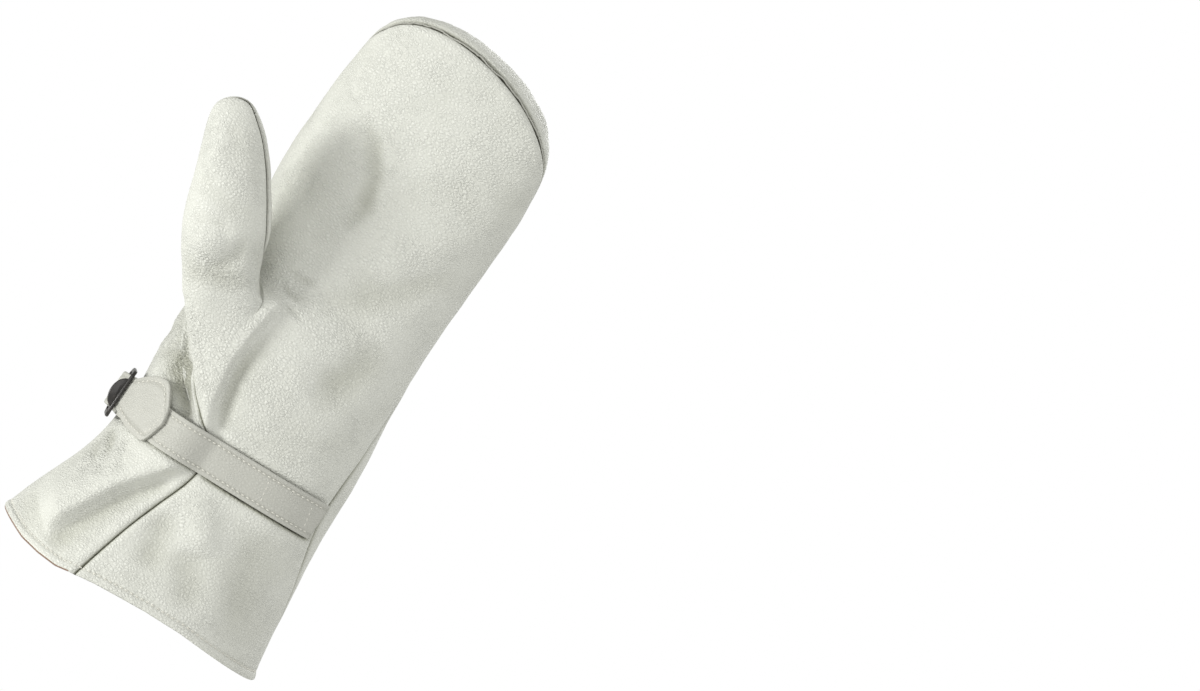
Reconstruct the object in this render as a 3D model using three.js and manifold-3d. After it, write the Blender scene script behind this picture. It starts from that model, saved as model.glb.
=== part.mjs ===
// A left-hand leather work mitten, filled out as if a hand were in it, with a wrist strap and buckle.
// Frame: millimetres, +Z from the cuff to the fingertips, the palm faces -Y, the thumb lies towards -X.
// The origin is inside the wrist, where the wearer's wrist holds the mitten up.
// Each panel is a grid of points on the body or the thumb; the grids are joined, smoothed once,
// given the leather's thickness inwards, and then parted along the seams.
import * as THREE from 'three';
import { mergeVertices } from 'three/addons/utils/BufferGeometryUtils.js';
import Module from 'manifold-3d';

// ---- driving dimensions ----
const LEATHER = 1.8;          // wall of the panels
const SEAM_PULL = 0.6;       // each panel's edge stands back this far from the seam line
const SQUARENESS = 2.3;       // exponent of the body's rounded sections
const THUMB_SQUARENESS = 2.1;
const STRAP_WIDTH = 20.5;
const STRAP_WALL = 2.2;       // double leather
const STRAP_START = -23.5;    // degrees round the wrist where it is caught in the little-finger seam
const STRAP_TURN = -146;      // degrees where it leaves the leather for the buckle
const FAN_END = -133.6;       // degrees at the tip of its free end
const STRAP_LEVEL = [[-70, -5], [-37, -6.4], [58, -2.8]]; // x, height of the strap's middle line
const CLEAR = 0.5;            // air between the layers
const LOOP_WALL = 1.6;
const LOOP_SHORT = 1;         // the loop is this much narrower than the strap
const LOOP_START = 154;       // degrees where it is sewn to the back
const LOOP_TURN = 159;
const BUCKLE_DEG = -173;      // direction of the buckle's middle from the wrist's axis
const BUCKLE_LEVEL = -5;
const BUCKLE_LIFT = 6.4;      // middle of the buckle's plate above the leather
const BUCKLE_HEIGHT = 29.5;   // along the hand
const BUCKLE_DEPTH = 27;      // round the wrist
const BUCKLE_BAR = 2.8;
const BUCKLE_WALL = 2;
const BUCKLE_CORNER = 2.5;
const MIDDLE_BAR_WALL = 1.6;
const BEND_SLACK = 0.4;       // more room where the strap bends under the buckle's bar
const LEVER_HALF = 9;          // the lever's rounded tab: half its length and its height
const LEVER_HEIGHT = 5.8;
const LEVER_WALL = 1.6;
const WELT_WALL = 1.2;
const WELT_HEIGHT = 1.6;      // stands this far out of the seam
const TIP_WELT_START = 222;
const THUMB_WELT_PAST = 2;    // points by which the thumb's welt passes over its tip
const THUMB_WELT_SKIP = 6;    // and by which it stops short of the crotch

// the strap's free end widens to a fan: x, low edge, high edge
const FAN = [
  [-74, -15.2, 5.2], [-68, -13.2, 5.8], [-63.5, -13.2, 6.0], [-60, -15.2, 10.3], [-55, -17.2, 13.9],
  [-48.5, -18.4, 15.3], [-45, -18.7, 12.5], [-41.8, -17.8, 7.4], [-39.2, -11.2, 2.6], [-38, -6, -2.4],
];

// ---- the body: sections by height ----
// height, thumb-side x, little-finger-side x, y of the widest point, palm y, back y
const BODY = [
  [-96, -87, 77.5, 0, -54, 54],
  [-84, -84, 75.5, 0, -52, 53],
  [-62, -77, 72.5, 0, -48, 49],
  [-38, -67, 70, 0, -44, 46],
  [-16, -64, 67.5, 0, -42, 44],
  [2, -63, 67, 0, -42, 43],
  [24, -66, 66, 1, -42, 42],
  [46, -68, 63.5, 1, -41, 40],
  [67, -69, 61, 2, -38, 37],
  [84, -66, 59, 3, -36, 34],
  [95, -65, 58, 3, -34, 33],
  [100, -65, 58, 3, -33.5, 32],
  [118, -66, 58.5, 3, -32, 31],
  [140, -69, 59, 1, -31, 29.5],
  [163, -69, 60, -2, -33, 26],
];
// Angles round the body: 0 is the little-finger side, -90 the palm, 180 the thumb side, 90 the back.
const LITTLE_FINGER_SEAM = [
  [-96, 0], [-62, -6], [-38, -14], [2, -32], [46, -20], [84, -4], [118, 6], [163, 8],
];
const BACK_SEAM = [[-96, 160], [-16, 168], [24, 171], [67, 172], [100, 168], [118, 165], [163, 172]];
const PALM_SEAM = [[-96, -106], [-62, -103], [-38, -101], [-16, -94], [2, -99]];
const WRIST_ROW = 5;          // the thumb's root starts at this row
const CROTCH_ROW = 11;        // and ends at this one
const CROSS = 9;              // cells across the palm and across the back
const THUMB_CROSS = CROTCH_ROW - WRIST_ROW;

// ---- the fingertips: the side seams curl towards the palm and meet in the tip seam ----
const THUMB_SIDE_EDGE = [
  [-68, -6, 185], [-66, -14, 204], [-64, -23, 219], [-61.5, -32, 230], [-57.5, -39, 239],
];
const LITTLE_SIDE_EDGE = [[60, -9, 180], [60, -17, 196], [59, -25, 208], [57, -33, 217], [53, -40, 225]];
const TIP_SEAM = [
  [-49, -47, 247], [-35, -53, 252], [-20.5, -57, 253.5], [-6, -59, 252],
  [8, -59.5, 249], [21.5, -57.5, 244], [34, -53.5, 237.5], [44.5, -47, 230],
];
const PALM_MIDDLE = [[-38, 184], [-45, 204], [-51, 222], [-56, 239]];
const BACK_MIDDLE = [[20, 189], [9, 216], [-10, 243], [-40, 264]];

// ---- the thumb ----
const THUMB_ROOT = [[-23, -42, 24], [-27, -43, 46], [-29, -42, 67], [-30.5, -41, 77], [-31, -38, 85]];
const INDEX_CORNER = -61;      // x of the palm's edge over the crotch
const THUMB_ACROSS = new THREE.Vector3(0.82, 0, 0.57);
const THUMB_SEAM_ANGLE = -24; // the inner seam stands this far to the palm side
// centre of each section, half width, half depth, share of its own shape against the root's
const THUMB = [
  [-47, -32, 60, 31, 21, 0.32],
  [-52, -37, 75.5, 29, 20, 0.66],
  [-59, -43, 87, 27, 19, 0.88],
  [-66.5, -48, 99, 25.4, 18.5, 1],
  [-73, -53, 112, 24, 17.5, 1],
  [-80, -57, 127, 21.4, 16.5, 1],
  [-87.5, -60, 140.5, 18.8, 15, 1],
  [-94.5, -62, 149.5, 15.4, 12.5, 1],
];
const CROTCH_LAG = 1.5;
const CROTCH_SKIVE = 1.12;    // the leather is pared thinner where the seams meet
const CROTCH_MIDDLE = new THREE.Vector3(-48, -20, 94);
const CROTCH_REACH = 22;
const THUMB_TIP_REACH = 19.5;
const THUMB_TIP_NARROWING = 0.78;

// ---- folds: ridges (height > 0) and troughs on the palm side, from one point to another in x and z ----
const FOLDS = [
  { from: [-28, 80], to: [-24, 14], width: 8, height: 3.5 },
  { from: [-37, 36], to: [-34, 8], width: 7, height: -3 },
  { from: [-17, -20], to: [-56, -88], width: 9, height: 4 },
  { from: [-10, -30], to: [-34, -92], width: 8, height: -4 },
];

const rad = THREE.MathUtils.degToRad;
const vec = (p) => new THREE.Vector3(...p);
const steps = (a, b, n) => Array.from({ length: n + 1 }, (_, i) => a + (b - a) * i / n);

/** Value in column `col` of a table at height z, on straight lines between its rows. */
function read(table, z, col = 1) {
  let i = 0;
  while (i < table.length - 2 && table[i + 1][0] < z) i += 1;
  const share = THREE.MathUtils.clamp((z - table[i][0]) / (table[i + 1][0] - table[i][0]), 0, 1);
  return THREE.MathUtils.lerp(table[i][col], table[i + 1][col], share);
}

const power = (v, exponent) => Math.sign(v) * Math.abs(v) ** (2 / exponent);

/** Point on the body at height z and angle `deg`: a superellipse with its own depth in front and behind. */
function bodyPoint(z, deg) {
  const [left, right, middle, front, back] = [1, 2, 3, 4, 5].map((col) => read(BODY, z, col));
  const x = (left + right) / 2 + (right - left) / 2 * power(Math.cos(rad(deg)), SQUARENESS);
  const s = Math.abs(power(Math.sin(rad(deg)), SQUARENESS));
  const y = middle + (Math.sin(rad(deg)) < 0 ? front - middle : back - middle) * s;
  return new THREE.Vector3(x, y, z);
}

/** Angle on the palm side where the body section at height z has this x. */
function palmAngle(z, x) {
  const left = read(BODY, z, 1);
  const right = read(BODY, z, 2);
  const c = THREE.MathUtils.clamp((2 * x - left - right) / (right - left), -1, 1);
  return -THREE.MathUtils.radToDeg(Math.acos(Math.sign(c) * Math.abs(c) ** (SQUARENESS / 2)));
}

/** Arc from one side edge to the other whose middle is at (y, z). */
function crossArc(from, to, [y, z]) {
  const a = vec(from);
  const b = vec(to);
  const middle = a.clone().add(b).multiplyScalar(0.5);
  const rise = new THREE.Vector3(0, y - middle.y, z - middle.z);
  const half = b.clone().sub(a).multiplyScalar(0.5);
  return steps(0, Math.PI, CROSS).map((t) => middle.clone()
    .addScaledVector(half, -power(Math.cos(t), SQUARENESS))
    .addScaledVector(rise, Math.abs(power(Math.sin(t), SQUARENESS))));
}

/** The grids of points of the three panels: palm and thumb front, back, thumb side and thumb back. */
function panelGrids() {
  const heights = BODY.map((row) => row[0]);
  const palmRows = [];
  const backRows = [];
  const root = [bodyPoint(heights[WRIST_ROW], read(PALM_SEAM, heights[WRIST_ROW])), ...THUMB_ROOT.map(vec)];
  const crotch = bodyPoint(heights[CROTCH_ROW], read(BACK_SEAM, heights[CROTCH_ROW]));
  root.push(crotch);
  heights.forEach((z, i) => {
    const little = read(LITTLE_FINGER_SEAM, z);
    const seam = read(BACK_SEAM, z);
    backRows.push(steps(seam, little, CROSS).map((deg) => bodyPoint(z, deg)));
    if (i <= WRIST_ROW) {
      palmRows.push(steps(read(PALM_SEAM, z), little, CROSS).map((deg) => bodyPoint(z, deg)));
      return;
    }
    if (i < CROTCH_ROW) {
      const start = root[i - WRIST_ROW];
      const row = steps(palmAngle(z, start.x), little, CROSS).map((deg) => bodyPoint(z, deg));
      const lift = start.clone().sub(row[0]);
      palmRows.push(row.map((p, j) => p.addScaledVector(lift, Math.exp(-((j / 1.6) ** 2)))));
      return;
    }
    const spread = Math.min((i - CROTCH_ROW) / 3, 1);
    const even = steps(seam - 360, little, CROSS);
    const fanned = steps(palmAngle(z, INDEX_CORNER), little, CROSS);
    const between = (deg, j) => (j === 0 ? deg : THREE.MathUtils.lerp(fanned[j], deg, spread));
    palmRows.push(even.map((deg, j) => bodyPoint(z, between(deg, j))));
  });
  for (let k = 0; k < PALM_MIDDLE.length; k += 1) {
    palmRows.push(crossArc(THUMB_SIDE_EDGE[k], LITTLE_SIDE_EDGE[k], PALM_MIDDLE[k]));
    backRows.push(crossArc(THUMB_SIDE_EDGE[k], LITTLE_SIDE_EDGE[k], BACK_MIDDLE[k]));
  }
  const tip = [THUMB_SIDE_EDGE.at(-1), ...TIP_SEAM, LITTLE_SIDE_EDGE.at(-1)].map(vec);
  palmRows.push(tip);
  backRows.push(tip);

  // The thumb side runs from the palm seam to the back seam; above the wrist it narrows to the crotch.
  const sideRows = [];
  const wristZ = heights[WRIST_ROW];
  const crotchZ = heights[CROTCH_ROW];
  const wristDeg = read(PALM_SEAM, wristZ) + 360;
  for (let i = 0; i <= CROTCH_ROW; i += 1) {
    const z = heights[i];
    const seam = read(BACK_SEAM, z);
    if (i <= WRIST_ROW) {
      sideRows.push(steps(read(PALM_SEAM, z) + 360, seam, THUMB_CROSS).map((deg) => bodyPoint(z, deg)));
    } else {
      sideRows.push(steps(0, 1, THUMB_CROSS).map((s) => bodyPoint(
        THREE.MathUtils.lerp(wristZ, z, s ** 1.5), THREE.MathUtils.lerp(wristDeg, seam, s))));
    }
  }
  // The thumb's two halves: sections from the root to the tip, which blend out of the root's line.
  const backRoot = sideRows[CROTCH_ROW];
  const centres = THUMB.map((row) => vec(row.slice(0, 3)));
  const frontRows = [root];
  let tipRow = [];
  THUMB.forEach(([, , , halfWidth, halfDepth, share], m) => {
    const above = centres[Math.min(m + 1, THUMB.length - 1)];
    const along = above.clone().sub(centres[Math.max(m - 1, 0)]).normalize();
    const across = THUMB_ACROSS.clone().addScaledVector(along, -THUMB_ACROSS.dot(along)).normalize();
    const front = across.clone().cross(along);
    const half = (from, sign) => steps(from, THUMB_SEAM_ANGLE, THUMB_CROSS).map((deg) => centres[m].clone()
      .addScaledVector(across, halfWidth * power(Math.cos(rad(deg)), THUMB_SQUARENESS))
      .addScaledVector(front, -halfDepth * power(Math.sin(rad(deg)), THUMB_SQUARENESS)));
    // towards the crotch a section leaves the root's line later
    const shareAt = (j) => share ** (1 + CROTCH_LAG * (j / THUMB_CROSS) ** 2);
    frontRows.push(half(-180).map((p, j) => root[j].clone().lerp(p, shareAt(j))));
    sideRows.push(half(180).map((p, j) => backRoot[j].clone().lerp(p, shareAt(j))));
    tipRow = steps(Math.PI, 0, THUMB_CROSS).map((t) => centres[m].clone()
      .addScaledVector(across, halfWidth * THUMB_TIP_NARROWING * Math.cos(t))
      .addScaledVector(along, 3 + THUMB_TIP_REACH * Math.sin(t) ** 0.8)
      .addScaledVector(front, 3));
  });
  frontRows.push(tipRow);
  sideRows.push(tipRow);
  palmRows.forEach((row, i) => {
    if (i >= WRIST_ROW && i <= CROTCH_ROW) row[0] = root[i - WRIST_ROW];
  });
  return [
    { panel: 'palm', rows: palmRows, flip: false },
    { panel: 'palm', rows: frontRows, flip: false },
    { panel: 'back', rows: backRows, flip: true },
    { panel: 'thumb_side', rows: sideRows, flip: true },
  ];
}

/** Join the grids into one mesh with shared points; a cell that ends in a point has three corners. */
function joinGrids(grids) {
  const points = [];
  const faces = [];
  const known = new Map();
  const number = (p) => {
    const key = p.toArray().map((v) => Math.round(v * 1000)).join();
    if (!known.has(key)) {
      known.set(key, points.length);
      points.push(p.clone());
    }
    return known.get(key);
  };
  for (const { panel, rows, flip } of grids) {
    for (let i = 0; i + 1 < rows.length; i += 1) {
      for (let j = 0; j + 1 < rows[i].length; j += 1) {
        const all = [rows[i][j], rows[i][j + 1], rows[i + 1][j + 1], rows[i + 1][j]].map(number);
        const corners = [...new Set(all)];
        faces.push({ panel, corners: flip ? corners.reverse() : corners });
      }
    }
  }
  return { points, faces };
}

const edgeKey = (a, b) => (a < b ? `${a}_${b}` : `${b}_${a}`);

/** Edges of a mesh with the faces on each. */
function edgesOf(faces) {
  const edges = new Map();
  faces.forEach((face, f) => face.corners.forEach((a, k) => {
    const b = face.corners[(k + 1) % face.corners.length];
    const key = edgeKey(a, b);
    if (!edges.has(key)) edges.set(key, { a, b, faces: [] });
    edges.get(key).faces.push(f);
  }));
  return edges;
}

const mean = (list) => list.reduce((sum, p) => sum.add(p), new THREE.Vector3()).divideScalar(list.length);

/** One round of Catmull-Clark smoothing; open edges stay curves of their own. */
function smooth({ points, faces }) {
  const edges = edgesOf(faces);
  const middles = faces.map((face) => mean(face.corners.map((k) => points[k])));
  const out = [...points.map((p) => p.clone()), ...middles];
  const around = points.map(() => ({ faces: [], edges: [], rim: [] }));
  const edgeNumber = new Map();
  for (const [key, edge] of edges) {
    const half = points[edge.a].clone().add(points[edge.b]).multiplyScalar(0.5);
    const open = edge.faces.length === 1;
    edgeNumber.set(key, out.length);
    out.push(open ? half : mean([points[edge.a], points[edge.b], ...edge.faces.map((f) => middles[f])]));
    for (const k of [edge.a, edge.b]) {
      around[k].edges.push(half);
      if (open) around[k].rim.push(half);
    }
  }
  faces.forEach((face, f) => face.corners.forEach((k) => around[k].faces.push(middles[f])));
  points.forEach((p, k) => {
    const { faces: near, edges: halves, rim } = around[k];
    if (rim.length > 0) {
      out[k] = p.clone().multiplyScalar(2).add(rim[0]).add(rim[1]).multiplyScalar(0.25);
      return;
    }
    const n = near.length;
    out[k] = mean(near).addScaledVector(mean(halves), 2).addScaledVector(p, n - 3).divideScalar(n);
  });
  const smaller = [];
  faces.forEach((face, f) => face.corners.forEach((k, i) => {
    const count = face.corners.length;
    const before = face.corners[(i + count - 1) % count];
    const after = face.corners[(i + 1) % count];
    smaller.push({
      panel: face.panel,
      corners: [k, edgeNumber.get(edgeKey(k, after)), points.length + f, edgeNumber.get(edgeKey(before, k))],
    });
  }));
  return { points: out, faces: smaller };
}

/** Normal at each point, from the faces round it. */
function normalsOf({ points, faces }) {
  const normals = points.map(() => new THREE.Vector3());
  for (const { corners } of faces) {
    const [a, b, c, d] = corners.map((k) => points[k]);
    const n = c.clone().sub(a).cross(d.clone().sub(b));
    corners.forEach((k) => normals[k].add(n));
  }
  return normals.map((n) => n.normalize());
}

/** Raise the ridges and press in the troughs of the palm side. */
function fold(mesh) {
  const normals = normalsOf(mesh);
  mesh.points.forEach((p, k) => {
    if (normals[k].y > -0.15) return;
    for (const { from, to, width, height } of FOLDS) {
      const a = new THREE.Vector2(...from);
      const run = new THREE.Vector2(...to).sub(a);
      const q = new THREE.Vector2(p.x, p.z).sub(a);
      const t = THREE.MathUtils.clamp(q.dot(run) / run.lengthSq(), 0, 1);
      const distance = q.addScaledVector(run, -t).length();
      p.addScaledVector(normals[k], height * Math.exp(-((distance / width) ** 2)));
    }
  });
}

function geometryFrom(positions, triangles) {
  const geometry = new THREE.BufferGeometry();
  geometry.setAttribute('position', new THREE.Float32BufferAttribute(positions, 3));
  geometry.setIndex(triangles);
  geometry.computeVertexNormals();
  return geometry;
}

/** One panel of the mesh as a closed wall: outer face, inner face and the cut edge between them. */
function panelWall(mesh, normals, panel) {
  const faces = mesh.faces.filter((face) => face.panel === panel);
  const edges = edgesOf(faces);
  const allEdges = edgesOf(mesh.faces);
  const pull = new Map();
  for (const [key, edge] of edges) {
    if (edge.faces.length === 1 && allEdges.get(key).faces.length === 2) {
      const middle = mean(faces[edge.faces[0]].corners.map((k) => mesh.points[k]));
      for (const k of [edge.a, edge.b]) {
        const along = mesh.points[edge.b].clone().sub(mesh.points[edge.a]).normalize();
        const inwards = middle.clone().sub(mesh.points[k]);
        inwards.addScaledVector(along, -inwards.dot(along));
        inwards.addScaledVector(normals[k], -inwards.dot(normals[k]));
        pull.set(k, (pull.get(k) ?? new THREE.Vector3()).add(inwards.normalize()));
      }
    }
  }
  const used = [...new Set(faces.flatMap((face) => face.corners))];
  const place = new Map(used.map((k, i) => [k, i]));
  const positions = [];
  for (const depth of [0, 1]) {
    for (const k of used) {
      const away = mesh.points[k].distanceTo(CROTCH_MIDDLE) / CROTCH_REACH;
      const skived = CROTCH_SKIVE * Math.exp(-(away ** 2));
      const p = mesh.points[k].clone().addScaledVector(normals[k], -depth * (LEATHER - skived));
      if (pull.has(k)) p.addScaledVector(pull.get(k).clone().normalize(), SEAM_PULL);
      positions.push(...p.toArray());
    }
  }
  const triangles = [];
  const quad = (a, b, c, d) => triangles.push(a, b, c, a, c, d);
  for (const { corners } of faces) {
    const [a, b, c, d] = corners.map((k) => place.get(k));
    const n = used.length;
    quad(a, b, c, d);
    quad(d + n, c + n, b + n, a + n);
  }
  for (const face of faces) {
    face.corners.forEach((a, i) => {
      const b = face.corners[(i + 1) % 4];
      if (edges.get(edgeKey(a, b)).faces.length === 1) {
        quad(place.get(b), place.get(a), place.get(a) + used.length, place.get(b) + used.length);
      }
    });
  }
  return geometryFrom(positions, triangles);
}

/** A closed bar through rings of equally many points, with flat ends. */
function bar(rings) {
  const n = rings[0].length;
  const positions = rings.flat().flatMap((p) => p.toArray());
  const triangles = [];
  for (let i = 0; i + 1 < rings.length; i += 1) {
    for (let j = 0; j < n; j += 1) {
      const a = i * n + j;
      const b = i * n + (j + 1) % n;
      triangles.push(a, b, b + n, a, b + n, a + n);
    }
  }
  const last = (rings.length - 1) * n;
  for (let j = 1; j + 1 < n; j += 1) {
    triangles.push(0, j + 1, j);
    triangles.push(last, last + j, last + j + 1);
  }
  return geometryFrom(positions, triangles);
}

const leather = { color: 0xd3d4ca, roughness: 0.62, metalness: 0 };
const enamel = { color: 0x26221f, roughness: 0.35, metalness: 0.2 };
const model = new THREE.Group();

function add(name, geometry, look) {
  const mesh = new THREE.Mesh(geometry, new THREE.MeshStandardMaterial(look));
  mesh.name = name;
  model.add(mesh);
  return mesh;
}

// ---- the three panels ----
const skin = smooth(joinGrids(panelGrids()));
fold(skin);
const skinNormals = normalsOf(skin);
for (const panel of ['palm', 'back', 'thumb_side']) {
  add(`${panel}_panel`, panelWall(skin, skinNormals, panel), leather);
}

// ---- what lies round the wrist is carried out from the leather ----
const skinMesh = new THREE.Mesh(
  geometryFrom(skin.points.flatMap((p) => p.toArray()),
    skin.faces.flatMap(({ corners: [a, b, c, d] }) => [a, b, c, a, c, d])),
  new THREE.MeshBasicMaterial({ side: THREE.DoubleSide }),
);
const ray = new THREE.Raycaster();

/** Distance from the body's axis to the outside of the leather at an angle and a height. */
function reachAt(deg, z) {
  ray.set(new THREE.Vector3(0, 0, z), new THREE.Vector3(Math.cos(rad(deg)), Math.sin(rad(deg)), 0));
  return Math.max(...ray.intersectObject(skinMesh).map((hit) => hit.distance));
}

/** The largest reach over the strap's width and a little to each side, so that it bridges the folds. */
function bridge(deg, width) {
  const level = read(STRAP_LEVEL, Math.cos(rad(deg)) * reachAt(deg, BUCKLE_LEVEL));
  const near = (dz) => [-2, 0, 2].map((d) => reachAt(deg + d, level + dz));
  return Math.max(...steps(-width / 2, width / 2, 6).flatMap(near));
}

/** Points round the wrist between two angles, on the middle of a layer `lift` above the leather. */
function wristLine(fromDeg, toDeg, count, lift, wall) {
  return steps(fromDeg, toDeg, count).map((deg) => new THREE.Vector2(Math.cos(rad(deg)), Math.sin(rad(deg)))
    .multiplyScalar(bridge(deg, STRAP_WIDTH) + lift + wall / 2));
}

/** A flat strip on edge: a line in x and y with a wall either side, and a low and high edge at each point. */
function ribbon(line, wall, edges) {
  return bar(line.map((p, i) => {
    const along = line[Math.min(i + 1, line.length - 1)].clone().sub(line[Math.max(i - 1, 0)]).normalize();
    const side = new THREE.Vector2(-along.y, along.x).multiplyScalar(wall / 2);
    const [low, high] = edges[i];
    const corner = (sign, z) => new THREE.Vector3(p.x + sign * side.x, p.y + sign * side.y, z);
    return [corner(1, low), corner(1, high), corner(-1, high), corner(-1, low)];
  }));
}

// ---- buckle: u runs round the wrist towards the palm, n out of the leather ----
const buckleOut = new THREE.Vector2(Math.cos(rad(BUCKLE_DEG)), Math.sin(rad(BUCKLE_DEG)));
const buckleAlong = new THREE.Vector2(-buckleOut.y, buckleOut.x);
const buckleCentre = buckleOut.clone().multiplyScalar(bridge(BUCKLE_DEG, STRAP_WIDTH) + BUCKLE_LIFT);
const atBuckle = (u, n) => buckleCentre.clone().addScaledVector(buckleAlong, u).addScaledVector(buckleOut, n);

/** Half circle round one of the buckle's bars at `u`, opening towards +u or -u. */
function turn(u, radius, opens) {
  const point = (deg) => atBuckle(u - opens * radius * Math.cos(rad(deg)), radius * Math.sin(rad(deg)));
  return steps(-90, 90, 6).map(point);
}

const TURN_RADIUS = BUCKLE_BAR / 2 + CLEAR + STRAP_WALL / 2 + 0.25;
const BAR_U = (BUCKLE_DEPTH - BUCKLE_BAR) / 2;
const underBar = BUCKLE_WALL / 2 + BEND_SLACK + CLEAR;
const under = wristLine(STRAP_START, STRAP_TURN, 26, CLEAR, STRAP_WALL);
const inner = [atBuckle(BAR_U, -STRAP_WALL * 1.5 - underBar - CLEAR), ...turn(0, TURN_RADIUS, 1)];
const outer = [
  atBuckle(BAR_U, -STRAP_WALL / 2 - underBar),
  ...wristLine(STRAP_TURN, FAN_END, 9, CLEAR * 2 + STRAP_WALL, STRAP_WALL),
];
const evenEdges = (p) => [-1, 1].map((side) => read(STRAP_LEVEL, p.x) + side * STRAP_WIDTH / 2);
const strapEdges = [
  ...[...under, ...inner].map(evenEdges),
  ...outer.map((p) => [read(FAN, p.x, 1), read(FAN, p.x, 2)]),
];
add('strap', ribbon([...under, ...inner, ...outer], STRAP_WALL, strapEdges), leather);

// ---- the short loop: sewn in the back seam, folded round the buckle's far bar ----
const LOOP_RADIUS = BUCKLE_BAR / 2 + BEND_SLACK + CLEAR * 2 + LOOP_WALL / 2;
const loopLine = [
  ...wristLine(LOOP_START, LOOP_TURN, 2, CLEAR * 2 + LOOP_WALL, LOOP_WALL),
  ...turn(-BAR_U, LOOP_RADIUS, -1).reverse(),
  ...wristLine(LOOP_TURN, LOOP_START, 2, CLEAR, LOOP_WALL),
];
const loopEdges = [-1, 1].map((side) => BUCKLE_LEVEL + side * (STRAP_WIDTH - LOOP_SHORT) / 2);
add('buckle_loop', ribbon(loopLine, LOOP_WALL, loopLine.map(() => loopEdges)), leather);

// ---- buckle: a flat frame with two windows and a rounded thumb lever on the palm-side bar ----
const wasm = await Module();
wasm.setup();

function solid(geometry) {
  const bare = geometry.clone();
  bare.deleteAttribute('normal');
  bare.deleteAttribute('uv');
  const merged = mergeVertices(bare, 1e-3);
  const vertProperties = Float32Array.from(merged.attributes.position.array);
  const triVerts = Uint32Array.from(merged.index.array);
  return new wasm.Manifold(new wasm.Mesh({ numProp: 3, vertProperties, triVerts }));
}

function rectangle(u0, u1, z0, z1) {
  return [[u0, z0], [u1, z0], [u1, z1], [u0, z1]].map((p) => new THREE.Vector2(...p));
}

function buckleGeometry() {
  const halfU = BUCKLE_DEPTH / 2;
  const halfZ = BUCKLE_HEIGHT / 2;
  const cornerU = halfU - BUCKLE_CORNER;
  const cornerZ = halfZ - BUCKLE_CORNER;
  const windowU = halfU - BUCKLE_BAR;
  const windowZ = halfZ - BUCKLE_BAR;
  const outline = new THREE.Shape();
  outline.absarc(cornerU, cornerZ, BUCKLE_CORNER, 0, rad(90));
  outline.absarc(-cornerU, cornerZ, BUCKLE_CORNER, rad(90), rad(180));
  outline.absarc(-cornerU, -cornerZ, BUCKLE_CORNER, rad(180), rad(270));
  outline.absarc(cornerU, -cornerZ, BUCKLE_CORNER, rad(270), rad(360));
  outline.holes.push(new THREE.Path(rectangle(-windowU, windowU, -windowZ, windowZ)));
  const flat = { bevelEnabled: false, curveSegments: 10 };
  const frame = new THREE.ExtrudeGeometry(outline, { ...flat, depth: BUCKLE_WALL, curveSegments: 4 });
  frame.translate(0, 0, -BUCKLE_WALL / 2);
  const middleBar = new THREE.BoxGeometry(BUCKLE_BAR, BUCKLE_HEIGHT - BUCKLE_BAR, MIDDLE_BAR_WALL);
  const disc = new THREE.Shape();
  disc.absellipse(0, 0, LEVER_HALF, LEVER_HEIGHT, 0, Math.PI);
  const lever = new THREE.ExtrudeGeometry(disc, { ...flat, depth: LEVER_WALL });
  // the tab stands on the bar: its round edge points out of the leather
  const stand = new THREE.Matrix4().makeBasis(vec([0, 1, 0]), vec([0, 0, 1]), vec([1, 0, 0]));
  lever.applyMatrix4(stand.setPosition(BAR_U - LEVER_WALL / 2, 0, 0));
  const mesh = solid(frame).add(solid(middleBar)).add(solid(lever)).getMesh();
  const geometry = geometryFrom(Array.from(mesh.vertProperties), Array.from(mesh.triVerts));
  const out = new THREE.Vector3(buckleOut.x, buckleOut.y, 0);
  const along = new THREE.Vector3(buckleAlong.x, buckleAlong.y, 0);
  const turned = new THREE.Matrix4().makeBasis(along, out.clone().cross(along), out);
  turned.setPosition(buckleCentre.x, buckleCentre.y, BUCKLE_LEVEL);
  return geometry.applyMatrix4(turned);
}

add('buckle', buckleGeometry(), enamel);

// ---- welts: thin strips that stand in the seams of the fingertips and of the thumb ----
/** Points of the seam between two panels, in order, as numbers of the mesh's points. */
function seamLine(mesh, first, second) {
  const next = new Map();
  for (const edge of edgesOf(mesh.faces).values()) {
    const panels = edge.faces.map((f) => mesh.faces[f].panel);
    if (!panels.includes(first) || !panels.includes(second)) continue;
    for (const [a, b] of [[edge.a, edge.b], [edge.b, edge.a]]) next.set(a, [...(next.get(a) ?? []), b]);
  }
  const line = [[...next.keys()].find((k) => next.get(k).length === 1)];
  for (;;) {
    const onward = next.get(line.at(-1)).find((k) => k !== line.at(-2));
    if (onward === undefined) return line;
    line.push(onward);
  }
}

function welt(line) {
  return bar(line.map((k, i) => {
    const before = skin.points[line[Math.max(i - 1, 0)]];
    const along = skin.points[line[Math.min(i + 1, line.length - 1)]].clone().sub(before).normalize();
    const side = along.clone().cross(skinNormals[k]).normalize();
    const corner = (a, up) => skin.points[k].clone()
      .addScaledVector(side, a * WELT_WALL / 2).addScaledVector(skinNormals[k], CLEAR + up);
    return [corner(-1, 0), corner(-1, WELT_HEIGHT), corner(1, WELT_HEIGHT), corner(1, 0)];
  }));
}

const tipSeam = seamLine(skin, 'palm', 'back').filter((k) => skin.points[k].z > TIP_WELT_START);
add('tip_welt', welt(tipSeam), leather);
const thumbSeam = seamLine(skin, 'palm', 'thumb_side');
if (skin.points[thumbSeam[0]].z > 0) thumbSeam.reverse();   // from the hem, over the thumb, to the crotch
const seamHeights = thumbSeam.map((k) => skin.points[k].z);
const top = seamHeights.indexOf(Math.max(...seamHeights));
add('thumb_welt', welt(thumbSeam.slice(top - THUMB_WELT_PAST, -THUMB_WELT_SKIP)), leather);

export default model;
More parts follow.
